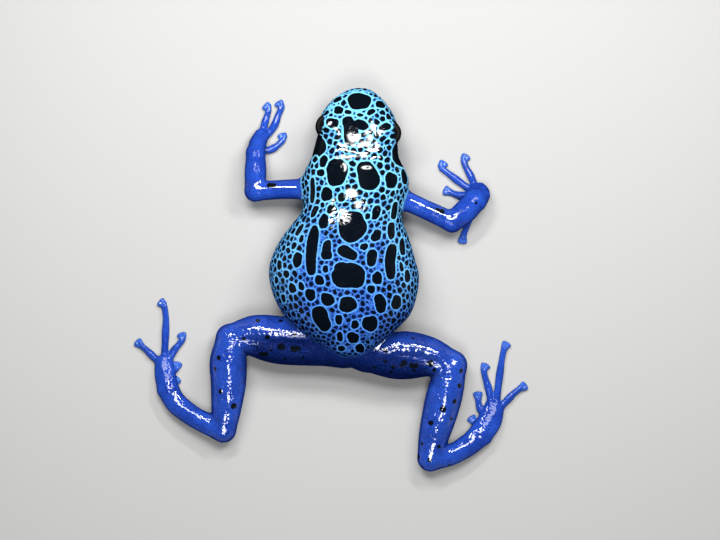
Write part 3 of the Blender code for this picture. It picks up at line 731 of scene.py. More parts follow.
# Spots of the back and head as the photo shows them, in its pixels: middle x and y,
# half width, half length, and how far the long way turns clockwise, in degrees.
BACK_SPOTS = [
    (359, 102, 11.5, 9, 0),
    (350.5, 132, 7.2, 15, -14),
    (337, 173, 11, 13.5, 0),
    (368, 177, 10.5, 15, -12),
    (391, 181, 6, 8.5, 0),
    (327, 195, 6, 7, 0),
    (332, 210, 5, 5, 0),
    (342, 198, 4, 5, 0),
    (352, 227, 13.6, 16, -20),
    (347.5, 253, 6, 10.5, -65),
    (349, 276, 16.3, 13, 0),
    (348, 304, 9, 8, 0),
    (322, 318, 8.5, 12.5, -20),
    (370, 323, 7.5, 8.3, 0),
    (353, 337, 5.8, 6, 0),
    (340, 336, 3.3, 5, 0),
    (339, 319, 4, 5, 0),
    (355, 324, 4, 4.5, 0),
    (360, 348, 5, 4.5, 0),
    (341.5, 348, 4, 3, 0),
    (328, 299, 7, 6.5, 0),
    (311, 294.5, 5, 6.5, 0),
    (380, 303, 6, 9.5, -10),
    (396, 302, 5, 7.5, 10),
    (377, 278, 5, 6.7, 0),
    (371.5, 258, 5.5, 8.5, 0),
    (371, 289, 4, 4.5, 0),
    (327, 250, 5, 9.5, 0),
    (324, 222, 5.2, 7.5, -10),
    (376, 213, 4.2, 7.5, 0),
    (376, 236, 5, 6.3, 10),
    (364, 247, 4, 4, 0),
    (367.5, 217, 3, 3.5, 0),
    (320, 280, 5, 5, 0),
    (326, 269, 3, 4, 0),
    (312, 250.6, 5.5, 25, 0),
    (390, 261.5, 5.8, 17.5, 4),
    (298, 260, 4.5, 8, 8),
    (293, 288, 4, 5, 0),
    (287, 274, 3, 4.2, 0),
    (302, 286, 3, 4.5, 0),
    (391, 231, 3.6, 9, -6),
    (402, 247, 2.8, 9, -10),
    (407, 276, 3, 6.5, -6),
    (401, 267, 2.2, 5, 0),
    (315, 212, 3.3, 6, 8),
    (300, 230, 2.5, 6.5, 22),
    (302, 239, 2.3, 4, 10),
    (294.5, 246, 2.5, 4, 15),
    (280, 265, 2.5, 5, 10),
    (277, 280, 2, 4, 0),
    (284, 298, 2.5, 4, 0),
    (394, 211, 3, 9, -4),
    (313, 191, 2.5, 13, 0),
    (404, 177, 3, 8, 0),
    (324, 162, 4.3, 6.2, 0),
    (321, 173.5, 4, 4, 0),
    (316, 158, 2.8, 5.5, 15),
    (339, 111, 4.7, 4.5, 0),
    (334.5, 124, 4.5, 5.5, 0),
    (380, 105, 4.8, 4, 0),
    (371, 113, 5, 2.6, -35),
    (348, 113, 4, 2.3, 20),
    (360, 116, 3.5, 2, 0),
    (383, 128, 5, 3.4, -30),
    (338, 100, 4, 3, -20),
]
# Lobes that widen the spot before them, in the same numbers as the spots.
SPOT_LOBES = [
    (361, 126, 7.5, 5.4, 10),
    (342, 270, 8, 8, 0),
    (327, 255, 6, 5, 0),
]
# Spots of the sides: x, y and z near their middle, and half sizes round and along the body.
# The first two are the black bands behind the eyes.
SIDE_SPOTS = [
    (-2.2, 21.2, 7.0, 2.5, 2.1),
    (10.8, 20.0, 6.4, 2.3, 2.2),
    (-4.4, 16.6, 4.6, 1.1, 1.4),
    (12.0, 13.6, 4.4, 1.0, 1.5),
]
# Where the furrow of the thighs runs in plan. The skin behind it gets painted shade.
FURROW_X = (-14.0, -3.0, 3.0, 6.5, 17.7)
FURROW_Y = (-9.3, -8.7, -9.8, -10.9, -13.1)
# Spots of the arms and legs, in the photo's pixels: middle x and y, and half width.
LIMB_SPOTS = [
    (281.6, 345.2, 3.9),
    (294.5, 347, 3.6),
    (298, 346.6, 3.2),
    (262, 355.3, 3.0),
    (265.5, 355.3, 2.8),
    (266.8, 338.4, 2.7),
    (257.4, 319.2, 2.5),
    (281, 319, 2.3),
    (296.3, 335.3, 1.9),
    (306.8, 333, 1.9),
    (284.7, 360.3, 1.6),
    (303, 358.5, 1.7),
    (270, 351, 1.3),
    (256.3, 346.8, 1.2),
    (244.2, 340.2, 2.1),
    (218, 356.8, 2.4),
    (214, 369, 2.0),
    (219.3, 392.3, 2.4),
    (234.8, 406.5, 3.2),
    (404.5, 361.4, 3.1),
    (430.6, 362, 3.6),
    (413, 366.3, 3.0),
    (416.5, 367, 2.6),
    (414.5, 371.5, 1.8),
    (401.5, 367, 1.5),
    (391.9, 368.2, 2.0),
    (390.2, 373.2, 2.0),
    (385, 362.3, 1.9),
    (373.4, 368.2, 1.7),
    (385, 349, 2.4),
    (413, 336.4, 1.7),
    (434.8, 371, 2.2),
    (462.4, 371.5, 2.4),
    (460.7, 386.2, 2.8),
    (455.9, 401.9, 2.6),
    (443.6, 410.3, 3.4),
    (452.5, 419.9, 1.9),
    (429.3, 423.4, 2.8),
    (420.5, 444.8, 1.9),
    (439.9, 448.1, 2.0),
    (428.9, 461.3, 2.2),
    (268.6, 184, 3.1),
    (272.6, 184.2, 3.1),
    (438.8, 209.3, 3.0),
    (443, 210, 2.7),
    (477.5, 202.5, 1.6),
]
# Where the back is wettest, in the photo's pixels: middle x and y, half width and half length.
WET_PATCHES = [
    (374, 130, 9, 13),
    (354, 136, 6, 7),
    (366, 150, 9, 7),
    (345, 152, 15, 7),
    (372, 152, 14, 7),
    (335, 135, 4, 6),
    (329, 123, 3, 3),
    (344, 168, 2.6, 4),
    (367, 168.5, 5, 1.6),
    (351, 195, 6, 5),
    (361, 204, 6, 6),
    (344, 217, 6.5, 7),
    (380, 205, 3.5, 8),
    (381, 225, 3, 12),
    (332, 212, 4, 14),
]
# How wet the flanks and the top of the back are elsewhere. The limbs are at 1.
DAMP = 0.3
DRY = 0.002
# The net of cells: the step of its charts, the least blue between two cells, the distance where
# there is no cell, the radii it is packed with, and how far the dark of a packed cell grows,
# or shrinks away where the cell stays blue.
CHART_STEP = 0.07
WALL = 0.21
BELLY_WALL = WALL * 1.3
NO_CELL = 9.0
FILL_RADII = (1.1, 0.8, 0.6, 0.46, 0.36, 0.28, 0.22, 0.17, 0.13)
GROWTH = 0.14
BLANK = -9.0
# The seed of the random draws, and how many small spots are tried low on the limbs.
SEED = 11
LOW_MARKS = 90


def plan_place(px, py):
    """Where a pixel of the photo lies on the frog, seen from above."""
    return (px - PHOTO_ORIGIN[0]) * PIXEL, (PHOTO_ORIGIN[1] - py) * PIXEL


def look_up(table, row, column):
    """The table at broken numbers of row and column, by linear steps."""
    i, j = row.astype(int), column.astype(int)
    a, b = row - i, column - j
    near = (1 - b) * table[i, j] + b * table[i, j + 1]
    beyond = (1 - b) * table[i + 1, j] + b * table[i + 1, j + 1]
    return (1 - a) * near + a * beyond


class BackChart:
    """Lays the back and sides out flat: round from the spine line, and along from the snout."""

    def __init__(self):
        self.y = np.linspace(BODY[0][0] + 0.02, BODY[-1][0] - 0.02, 300)
        self.turn = np.linspace(0, math.pi, 120)
        _, half, wide, back, belly = body_rows(self.y)
        over, under = roundness(self.y)
        across = np.sin(self.turn)[None, :]
        up = np.cos(self.turn)[None, :]
        power = np.where(up >= 0, over[:, None], under[:, None])
        x = half[:, None] * np.abs(across) ** (2 / power)
        height = np.where(up >= 0, (back - wide)[:, None], (wide - belly)[:, None])
        z = np.sign(up) * height * np.abs(up) ** (2 / power)
        steps = np.hypot(np.diff(x, axis=1), np.diff(z, axis=1))
        self.round = np.concatenate([np.zeros((len(self.y), 1)), np.cumsum(steps, axis=1)], axis=1)
        rise = np.gradient(back, self.y)
        pace = np.sqrt(1 + np.minimum(rise**2, 4.0))
        ahead = np.concatenate([[0], np.cumsum((pace[1:] + pace[:-1]) / 2 * np.diff(self.y))])
        self.along = ahead[-1] - ahead

    def place(self, points):
        """Chart places of points near the body's surface."""
        y = np.clip(points[:, 1], self.y[0], self.y[-1])
        middle, half, wide, back, belly = body_rows(y)
        over, under = roundness(y)
        u = np.abs(points[:, 0] - middle) / half
        v = points[:, 2] - wide
        power = np.where(v > 0, over, under)
        height = np.where(v > 0, back - wide, wide - belly)
        v = np.sign(v) * (np.abs(v) / height) ** (power / 2)
        turn = np.arctan2(u ** (power / 2), v)
        row = np.clip((y - self.y[0]) / (self.y[1] - self.y[0]), 0, len(self.y) - 1.001)
        column = np.clip(turn / (self.turn[1] - self.turn[0]), 0, len(self.turn) - 1.001)
        reach = look_up(self.round, row, column)
        return np.sign(points[:, 0] - middle) * reach, np.interp(y, self.y, self.along)

    def from_above(self, x, y):
        """Chart place of the point of the back that lies at x and y in plan."""
        middle, half, wide, back, _ = body_rows(y)
        over, _ = roundness(y)
        u = min(abs(x - middle) / half, 0.985)
        z = wide + (back - wide) * (1 - u**over) ** (1 / over)
        across, along = self.place(np.array([[middle + math.copysign(u * half, x - middle), y, z]]))
        return float(across[0]), float(along[0])


class Cells:
    """Dark cells on a flat chart, kept as the distance to the nearest one and the next one."""

    def __init__(self, low, high):
        self.low = np.array(low, float)
        self.shape = tuple(int(n) for n in np.ceil((np.array(high) - self.low) / CHART_STEP))
        self.nearest = np.full(self.shape, NO_CELL, np.float32)
        self.second = np.full(self.shape, NO_CELL, np.float32)
        self.growth = np.zeros(self.shape, np.float32)
        self.depth = np.ones(self.shape, np.float32)
        self.large = np.full(self.shape, NO_CELL, np.float32)

    def add(self, s, t, half_s, half_t, turn, growth, depth, wobble, reach=2.2, lobe=False):
        """Adds an oval cell with a slightly uneven edge. A lobe runs into the cell it touches."""
        half_s, half_t = max(half_s, 0.1), max(half_t, 0.1)
        size = max(half_s, half_t) + reach
        middle = np.array((s, t))
        start = np.maximum(np.floor((middle - size - self.low) / CHART_STEP).astype(int), 0)
        stop = np.ceil((middle + size - self.low) / CHART_STEP).astype(int)
        stop = np.minimum(stop, self.shape)
        if (stop <= start).any():
            return
        part = (slice(start[0], stop[0]), slice(start[1], stop[1]))
        ds = (self.low[0] + CHART_STEP * np.arange(start[0], stop[0]) - s)[:, None]
        dt = (self.low[1] + CHART_STEP * np.arange(start[1], stop[1]) - t)[None, :]
        c, n = math.cos(turn), math.sin(turn)
        u, v = (ds * c + dt * n) / half_s, (dt * c - ds * n) / half_t
        power = 2.2 + 0.5 * min(max(half_t / half_s, half_s / half_t) - 1, 2.5)
        far = (np.abs(u) ** power + np.abs(v) ** power) ** (1 / power) + 1e-6
        angle = np.arctan2(v, u)
        uneven = 0.06 * np.sin(2 * angle + wobble) + 0.05 * np.sin(3 * angle + 2.3 * wobble)
        uneven = uneven + 0.03 * np.sin(5 * angle + 4.1 * wobble)
        slope = np.hypot(np.abs(u) ** (power - 1) / half_s, np.abs(v) ** (power - 1) / half_t)
        slope = slope * far ** (1 - power) + 1e-6
        distance = np.maximum((far - 1) / slope, -1.0) - uneven * min(half_s, half_t)
        distance = distance.astype(np.float32)
        first = distance < self.nearest[part]
        if not lobe:
            self.second[part] = np.where(first, self.nearest[part], np.minimum(self.second[part], distance))
        self.nearest[part] = np.where(first, distance, self.nearest[part])
        self.growth[part] = np.where(first, growth, self.growth[part])
        self.depth[part] = np.where(first, depth, self.depth[part])
        if growth == 0:
            self.large[part] = np.minimum(self.large[part], distance)

    def fill(self, rng, largest, wall, blank):
        """Packs ever smaller cells into what is free.

        largest is the biggest radius at each place, and blank the share of cells left blue."""
        for radius in FILL_RADII:
            free = np.argwhere((self.nearest > radius + wall) & (largest >= radius))
            rng.shuffle(free)
            for i, j in free:
                if self.nearest[i, j] <= radius + wall:
                    continue
                s, t = self.low + CHART_STEP * np.array((i, j))
                size = min(self.nearest[i, j] - wall, radius * 1.2)
                stretch = rng.uniform(0.85, 1.15)
                growth = BLANK if radius < 0.5 and rng.random() < blank[i, j] else GROWTH
                depth = rng.uniform(0.1, 0.7) + 0.6 * smooth_step(0.2, 0.45, size)
                turn, wobble = rng.uniform(0, math.pi), rng.uniform(0, 2 * math.pi)
                self.add(s, t, size * stretch, size / stretch, turn, growth, min(depth, 1.0), wobble, 1.2)

    def distance(self, wall):
        """Distance to the dark, in mm: below zero inside the cells."""
        between = (wall - (self.second - self.nearest)) / 2
        return -blend(-(self.nearest - self.growth), -between, 0.12)

    def sample(self, s, t, table):
        at = np.stack([(s - self.low[0]), (t - self.low[1])], axis=1) / CHART_STEP
        at = np.clip(at, 0, np.array(self.shape) - 1.001)
        return look_up(table, *at.T)


def back_cells(chart, rng):
    """The spots of the back, and the net of small cells between them."""
    cells = Cells((-24, -1), (24, chart.along[0] + 1))
    for number, (px, py, half_wide, half_long, turn) in enumerate(BACK_SPOTS + SPOT_LOBES):
        x, y = plan_place(px, py)
        left = chart.from_above(x - half_wide * PIXEL, y)
        right = chart.from_above(x + half_wide * PIXEL, y)
        front = chart.from_above(x, y + half_long * PIXEL)
        rear = chart.from_above(x, y - half_long * PIXEL)
        middle = ((left[0] + right[0]) / 2, (front[1] + rear[1]) / 2)
        halves = ((right[0] - left[0]) / 2, (rear[1] - front[1]) / 2)
        lobe = number >= len(BACK_SPOTS)
        cells.add(*middle, *halves, math.radians(turn), 0.0, 1.0, rng.uniform(0, 6.3), lobe=lobe)
    for x, y, z, half_round, half_along in SIDE_SPOTS:
        s, t = chart.place(np.array([[x, y, z]]))
        cells.add(float(s[0]), float(t[0]), half_round, half_along, 0.0, 0.0, 1.0, rng.uniform(0, 6.3))
    s = np.abs(cells.low[0] + CHART_STEP * np.arange(cells.shape[0]))[:, None]
    t = (cells.low[1] + CHART_STEP * np.arange(cells.shape[1]))[None, :]
    widest = np.interp(-t, -chart.along, chart.round[:, len(chart.turn) // 2])
    largest = 0.38 - 0.1 * smooth_step(18.0, 26.0, t) * smooth_step(8.0, 5.0, s)
    largest = largest + 0.95 * smooth_step(0.9, 1.15, s / np.maximum(widest, 0.5))
    blank = (0.02 + 0.05 * smooth_step(26.0, 34.0, t)) * smooth_step(8.0, 6.0, s)
    cells.fill(rng, largest, WALL, blank)
    return cells


def belly_cells(rng):
    """Scattered spots and a looser net on the belly, on a flat chart of x and y."""
    cells = Cells((-14, -14), (18, 32))
    largest = np.full(cells.shape, 1.3)
    cells.fill(rng, largest, BELLY_WALL, np.full(cells.shape, 0.2))
    return cells


def snout_cells(rng):
    """The net on the front of the snout, on a flat chart of x and z."""
    cells = Cells((-2, -1), (11, 10))
    cells.fill(rng, np.full(cells.shape, 0.5), WALL, np.zeros(cells.shape))
    return cells


def draw_in(points):
    """Draws the skin in where the blends take it a little past the box of the solids."""
    low, high = (np.array(corner) / MM - TO_MIDDLE for corner in CAD_BOX)
    for axis in (0, 1):
        values = points[:, axis]
        values[values < 0] *= min(low[axis] / values.min(), 1.0)
        values[values > 0] *= min(high[axis] / values.max(), 1.0)
    return points


def make_skin():
    """Blends body and limbs into one skin and marks it."""
    body = Grid(GRID_LOW, GRID_HIGH)
    body_field(body)
    head_details(body)
    limbs = Grid(GRID_LOW, GRID_HIGH)
    for side in SIDES:
        limbs_field(limbs, side)
    slices, (x, y, z) = limbs.window(np.array(RUMP_CENTRE) - 7, np.array(RUMP_CENTRE) + 7)
    rump = ball_field(x, y, z, RUMP_CENTRE, RUMP_HALF_SIZE)
    limbs.field[slices] = blend(limbs.field[slices], rump.astype(np.float32), RUMP_BLEND)
    whole = Grid(GRID_LOW, GRID_HIGH)
    _, (x, y, z) = whole.window(GRID_LOW, GRID_HIGH)
    reach = 0.45 + 0.7 * smooth_step(2.0, 8.0, y)
    whole.field = blend(body.field, limbs.field, reach).astype(np.float32)
    whole.field = np.maximum(whole.field, -z)
    points, faces = skin_surface(whole.field, whole.low)
    points = relax(settle(whole, points), faces, 2)
    points[:, 2] = np.maximum(points[:, 2], 0.0)
    points = draw_in(points)
    piece = mesh_object("skin", points, faces)
    markings(piece, points, body, limbs)
    return piece


def add_values(piece, name, values):
    piece.data.attributes.new(name, "FLOAT", "POINT").data.foreach_set("value", values.astype(np.float32))


def net_values(points, rng):
    """The spots and net of the body: distance to the dark, how deep it is, how near
    the rim of a large spot is, and the share of the underside."""
    x, y, z = points.T
    chart = BackChart()
    s, t = chart.place(points)
    back = back_cells(chart, rng)
    belly = belly_cells(rng)
    snout = snout_cells(rng)
    front = smooth_step(0.0, 0.4, y - 28.9 - 0.65 * smooth_step(5.5, 6.8, z))
    under = smooth_step(-1.2, -2.4, z - body_rows(y)[2]) * (1 - front)
    above = 1 - under - front
    charts = [
        (back, s, t, WALL, above),
        (belly, x, y, BELLY_WALL, under),
        (snout, x, z, WALL, front),
    ]
    dark, depth = np.full(len(points), NO_CELL), 0.0
    for cells, u, v, wall, share in charts:
        dark = np.minimum(dark, cells.sample(u, v, cells.distance(wall)) + 1.5 * (1 - share))
        depth = depth + cells.sample(u, v, cells.depth) * share
    halo = bump(np.maximum(back.sample(s, t, back.large), 0), 0.2) * above
    for side in SIDES:
        reach, rim, _ = eye_opening(x, y, z, side)
        lid_edge = np.maximum(reach - (EYE_RADIUS + LID_THICKNESS * 0.7), np.abs(rim) - 0.3)
        dark = np.where(reach < EYE_RADIUS + 1.0, np.minimum(dark, lid_edge), dark)
    return dark, depth, halo, under


def limb_marks(points, limb, rng):
    """Distance to the spots of the arms and legs: the photo's, and small ones low on the sides."""
    marks = []
    for px, py, half_width in LIMB_SPOTS:
        x, y = plan_place(px, py)
        near = np.hypot(points[:, 0] - x, points[:, 1] - y) < 0.25
        marks.append((points[near][points[near][:, 2].argmax()], half_width * PIXEL))
    low = (limb > 0.9) & (points[:, 2] > 1.35) & (points[:, 2] < 3.2)
    low = np.flatnonzero(low & (np.abs(points[:, 0]) < 19) & (points[:, 1] < 19.5))
    for place in points[rng.choice(low, LOW_MARKS, replace=False)]:
        if min(np.linalg.norm(place - other) for other, _ in marks) > 1.2:
            marks.append((place, rng.uniform(0.2, 0.42)))
    distance = np.full(len(points), NO_CELL)
    for place, radius in marks:
        distance = np.minimum(distance, np.linalg.norm(points - place, axis=1) - radius)
    return distance


def thigh_values(x, y, z):
    """How much painted shade the thighs get, heaviest behind their furrow and near the vent, the painted
    shade line of their furrow, and where they are dull behind it.
    """
    thighs = smooth_step(-6.5, -9.0, y) * smooth_step(-17.0, -15.5, y)
    thighs = thighs * smooth_step(17.5, 12.0, np.abs(x - 1.5))
    from_vent = np.abs(x - 3.2)
    furrow_y = np.interp(x, FURROW_X, FURROW_Y)
    behind = smooth_step(furrow_y + 0.6, furrow_y - 0.6, y)
    # Painted shade: heaviest behind the furrow and near the vent.
    shade_and_specks = thighs * (0.4 + 0.6 * np.maximum(behind, smooth_step(6.0, 3.0, from_vent)))
    # Painted shade along the furrow between the thigh's two muscles.
    line = bump(y - furrow_y, 0.3) * thighs
    line = line * smooth_step(2.5, 4.5, from_vent) * smooth_step(3.5, 5.0, z)
    dull = thighs * smooth_step(furrow_y + 0.9, furrow_y + 0.1, y)
    return shade_and_specks, line, dull


def feet_share(x, y):
    """1 on the tarsi and feet, and 0 elsewhere."""
    left = smooth_step(-17.5, -19.0, x)
    right_tarsus = smooth_step(17.5, 19.0, x) * smooth_step(-21.0, -23.0, y)
    right_sole = smooth_step(21.8, 22.6, x)
    return np.maximum(left, np.maximum(right_tarsus, right_sole)) * smooth_step(0.0, -5.0, y)


def wet_body(x, y, z):
    """How wet the body is: nearly dry along the top, but for the patches."""
    wet = DRY + (DAMP - DRY) * smooth_step(0.6, 2.2, body_rows(y)[3] - z)
    for px, py, half_wide, half_long in WET_PATCHES:
        patch_x, patch_y = plan_place(px, py)
        reach = np.hypot((x - patch_x) / (half_wide * PIXEL), (y - patch_y) / (half_long * PIXEL))
        wet = np.maximum(wet, smooth_step(1.35, 0.75, reach) * smooth_step(6.5, 8.5, z))
    return wet


def wet_limbs(x, y, z, feet):
    """How wet the limbs are: less on hands and feet, and on the rear of the upper arms."""
    left_hand = smooth_step(-6.5, -7.2, x) * smooth_step(15.4, 16.4, y)
    past_elbow = 0.55 * (x - 19.0) + 0.83 * (y - 9.4)
    right_hand = smooth_step(0.8, 2.0, past_elbow) * smooth_step(14.0, 16.0, x)
    hands_dry = np.maximum(left_hand, right_hand) * (0.72 + 0.2 * smooth_step(1.1, 1.8, z))
    feet_dry = feet * (0.8 - 0.45 * smooth_step(1.9, 2.5, z))
    left_arm = smooth_step(-4.0, -6.0, x)
    left_rear = smooth_step(14.4, 14.1, y) * left_arm
    across = 0.4 * (x - 14.2) + 0.92 * (y - 11.6)
    right_rear = smooth_step(0.0, -0.25, across) * smooth_step(8.0, 10.0, x)
    gap = bump(x + 9.5, 0.8) * smooth_step(16.0, 15.0, y) * left_arm
    arms_dry = np.maximum(np.maximum(left_rear, right_rear), gap) * smooth_step(3.0, 6.0, y)
    return (1 - np.maximum(hands_dry, feet_dry)) * (1 - 0.9 * arms_dry)


def markings(piece, points, body, limbs):
    """Works out where the skin is black, pale, wet or rough, and where navy shade is painted, and keeps it on
    the mesh.
    """
    rng = np.random.default_rng(SEED)
    x, y, z = points.T
    apart = body.sample(points) - limbs.sample(points)
    limb = np.clip(0.5 + apart / 0.5, 0.0, 1.0)
    dark, depth, halo, under = net_values(points, rng)
    dark_limb = limb_marks(points, limb, rng)
    shade_and_specks, line, dull = thigh_values(x, y, z)
    feet = feet_share(x, y)
    # The net is darker towards the rear, partly painted falloff of the front light and partly the skin's own
    # tone. It is lighter on the lower flanks, partly painted light where they get less lamp light. It is half
    # as bright on the underside.
    bright = 0.12 + 0.88 * smooth_step(1.0, 19.0, y)
    flank = smooth_step(4.5, 9.5, np.abs(x - 2.2)) * smooth_step(-7.0, -1.0, y)
    wet = wet_body(x, y, z) * (1 - limb) + wet_limbs(x, y, z, feet) * limb
    # Painted shade in the crease where the thighs meet the body.
    crease_shade = bump(apart, 0.7) * smooth_step(-4.0, -7.0, y)
    coarse = limb * smooth_step(6.0, 2.0, y) + (1 - limb) * smooth_step(14.5, 10.5, y)
    coarse = (0.05 + 0.95 * coarse) * (1 - 0.6 * (1 - limb) * smooth_step(7.0, 4.0, y))
    values = {
        "dark": np.clip(dark * (1 - limb) + dark_limb * limb, -1, 3),
        "depth": depth * (1 - limb) + limb,
        "halo": halo * (1 - limb),
        "bright": np.clip(bright + 0.5 * flank, 0, 1) * (1 - 0.5 * under),
        "limb": limb,
        "shade_and_specks": shade_and_specks,
        # Painted shade in the hip crease and along the thighs' furrow.
        "crease_shade": np.maximum(crease_shade, 0.8 * line),
        "wet": wet * (1 - 0.995 * dull),
        "coarse": coarse * (1 - 0.7 * feet),
        "pale": smooth_step(0.9, 0.3, z) * limb * (np.abs(x - 3) > 8),
    }
    for name, value in values.items():
        add_values(piece, name, value)


class Nodes:
    """Builds a material's nodes with short calls."""

    def __init__(self, name):
        self.material = bpy.data.materials.new(name)
        self.material.use_nodes = True
        self.tree = self.material.node_tree
        self.shader = self.tree.nodes["Principled BSDF"]

    def node(self, kind, **settings):
        node = self.tree.nodes.new(kind)
        for key, value in settings.items():
            setattr(node, key, value)
        return node

    def feed(self, socket, value):
        if hasattr(value, "is_output"):
            self.tree.links.new(value, socket)
        elif hasattr(value, "__len__") and len(socket.default_value) == 4:
            socket.default_value = (*value, 1.0) if len(value) == 3 else value
        else:
            socket.default_value = value

    def value(self, name):
        return self.node("ShaderNodeAttribute", attribute_name=name).outputs["Fac"]

    def math(self, operation, a, b):
        node = self.node("ShaderNodeMath", operation=operation)
        self.feed(node.inputs[0], a)
        self.feed(node.inputs[1], b)
        return node.outputs[0]

    def times(self, a, b):
        return self.math("MULTIPLY", a, b)

    def ramp(self, value, low, high, to_low=0.0, to_high=1.0):
        node = self.node("ShaderNodeMapRange", interpolation_type="SMOOTHSTEP")
        given = {"Value": value, "From Min": low, "From Max": high, "To Min": to_low, "To Max": to_high}
        for name, setting in given.items():
            self.feed(node.inputs[name], setting)
        return node.outputs[0]

    def mix(self, share, a, b):
        node = self.node("ShaderNodeMix", data_type="RGBA")
        self.feed(node.inputs[0], share)
        self.feed(node.inputs[6], a)
        self.feed(node.inputs[7], b)
        return node.outputs[2]

    def texture(self, kind, size, **settings):
        """A texture whose features have this size in mm."""
        node = self.node(kind, **settings)
        self.feed(node.inputs["Vector"], self.node("ShaderNodeTexCoord").outputs["Object"])
        self.feed(node.inputs["Scale"], 1.0 / (size * MM))
        return node

    def noise(self, size, detail=2.0, roughness=0.5):
        node = self.texture("ShaderNodeTexNoise", size)
        self.feed(node.inputs["Detail"], detail)
        self.feed(node.inputs["Roughness"], roughness)
        return node.outputs["Fac"]

    def cells(self, size, smoothness):
        """Distance from the middle of the nearest of many rounded cells."""
        node = self.texture("ShaderNodeTexVoronoi", size, feature="SMOOTH_F1")
        self.feed(node.inputs["Smoothness"], smoothness)
        return node.outputs["Distance"]

    def upward(self):
        """How far the surface faces up, from -1 to 1."""
        split = self.node("ShaderNodeSeparateXYZ")
        self.feed(split.inputs[0], self.node("ShaderNodeNewGeometry").outputs["Normal"])
        return split.outputs["Z"]

    def relief(self, height, depth, below=None):
        """A bump whose height of one is this depth in mm."""
        node = self.node("ShaderNodeBump")
        self.feed(node.inputs["Height"], height)
        self.feed(node.inputs["Distance"], depth * MM)
        self.feed(node.inputs["Strength"], 1.0)
        if below is not None:
            self.feed(node.inputs["Normal"], below)
        return node.outputs["Normal"]

    def finish(self, settings):
        """Feeds the shader's sockets and gives the material."""
        for name, value in settings.items():
            self.feed(self.shader.inputs[name], value)
        return self.material


def skin_material():
    n = Nodes("skin")
    dark, depth, halo = n.value("dark"), n.value("depth"), n.value("halo")
    limb, shade_and_specks = n.value("limb"), n.value("shade_and_specks")

    patchy = n.times(n.math("SUBTRACT", n.noise(2.6, 2.0), 0.5), 0.5)
    bright = n.math("ADD", n.value("bright"), patchy)
    ragged = n.times(n.math("SUBTRACT", n.noise(0.42, 2.0), 0.5), 0.16)
    dark = n.math("ADD", dark, ragged)
    lightness = n.ramp(n.noise(0.55, 2.0), 0.4, 0.6, 0.3, 0.9)
    lightness = n.math("MAXIMUM", halo, n.times(lightness, n.ramp(bright, 0.1, 0.9, 0.5, 1.0)))
    web = n.mix(lightness, n.mix(bright, ROYAL, SKY), n.mix(bright, AZURE, CYAN))
    mottle = n.ramp(n.noise(0.24, 2.0), 0.53, 0.6)
    mottle = n.times(mottle, n.ramp(halo, 0.3, 0.8, 0.7, 0.0))
    web = n.mix(n.times(mottle, n.ramp(bright, 0.3, 0.9, 1.0, 0.4)), web, DUSK)

    # The painted shade amount also makes the thighs' dark specks denser.
    dots = n.ramp(shade_and_specks, 0.0, 1.0, 0.57, 0.42)
    speckle = n.ramp(n.noise(0.18, 1.0, 0.6), dots, n.math("ADD", dots, 0.08))
    limb_blue = n.mix(n.ramp(n.noise(3.4, 2.0), 0.3, 0.7), COBALT, COBALT_LIGHT)
    # Painted shade on the rear of the thighs and round the vent.
    limb_blue = n.mix(n.times(shade_and_specks, 0.95), limb_blue, SHADE_COBALT)
    limb_blue = n.mix(n.times(speckle, 0.75), limb_blue, FLECK)
    limb_blue = n.mix(n.times(n.value("pale"), 0.5), limb_blue, PALE_BLUE)
    # Painted shade on the limbs' sides and undersides, darker the less the skin faces up.
    limb_blue = n.mix(n.ramp(n.upward(), 0.8, 0.0, 0.0, 0.7), limb_blue, SHADE_NAVY)
    blue = n.mix(limb, web, limb_blue)
    # Painted shade in the creases and along the thighs' furrow.
    blue = n.mix(n.times(n.value("crease_shade"), 0.7), blue, SHADE_NAVY)

    ink = n.mix(n.ramp(depth, 0.0, 0.9), DUSK, BLACK)
    softness = n.ramp(depth, 0.2, 0.9, 0.09, 0.035)
    inside = n.ramp(dark, softness, n.times(softness, -1.0))

    coarse = n.value("coarse")
    cobble = n.times(n.math("SUBTRACT", 1.0, n.cells(0.4, 0.5)), coarse)
    lumps = n.times(n.noise(0.7, 1.0), n.ramp(coarse, 0.0, 1.0, 0.35, 1.0))
    swells = n.times(n.noise(2.2, 1.0), n.ramp(coarse, 0.05, 0.6, 0.5, 1.0))
    fine = n.relief(n.noise(0.15, 2.0, 0.6), 0.003)
    fine = n.relief(cobble, 0.035, fine)
    fine = n.relief(lumps, 0.08, fine)
    fine = n.relief(swells, 0.3, fine)
    settings = {
        "Base Color": n.mix(inside, blue, ink),
        "Normal": fine,
        "Roughness": n.ramp(n.noise(0.7), 0.3, 0.7, 0.35, 0.5),
        "Specular IOR Level": 0.0,
        "Coat Weight": n.times(n.ramp(n.upward(), 0.5, 0.9, 0.02, 1.0), n.value("wet")),
        "Coat Roughness": 0.06,
        "Coat IOR": COAT_IOR,
        "Coat Normal": fine,
    }
    return n.finish(settings)


def eye_material():
    n = Nodes("eye")
    turn = n.value("turn")
    fibres = n.noise(0.25, 3.0)
    iris = n.mix(n.ramp(fibres, 0.35, 0.7), IRIS_DARK, IRIS_LIGHT)
    colour = n.mix(n.ramp(turn, 0.42, 0.47), BLACK, iris)
    colour = n.mix(n.ramp(turn, 0.75, 0.95), colour, BLACK)
    settings = {
        "Base Color": colour,
        "Roughness": 0.3,
        "Specular IOR Level": 0.0,
        "Coat Weight": n.ramp(n.upward(), 0.4, 0.85, 0.03, 1.0),
        "Coat Roughness": 0.03,
        "Coat IOR": EYE_COAT_IOR,
    }
    return n.finish(settings)


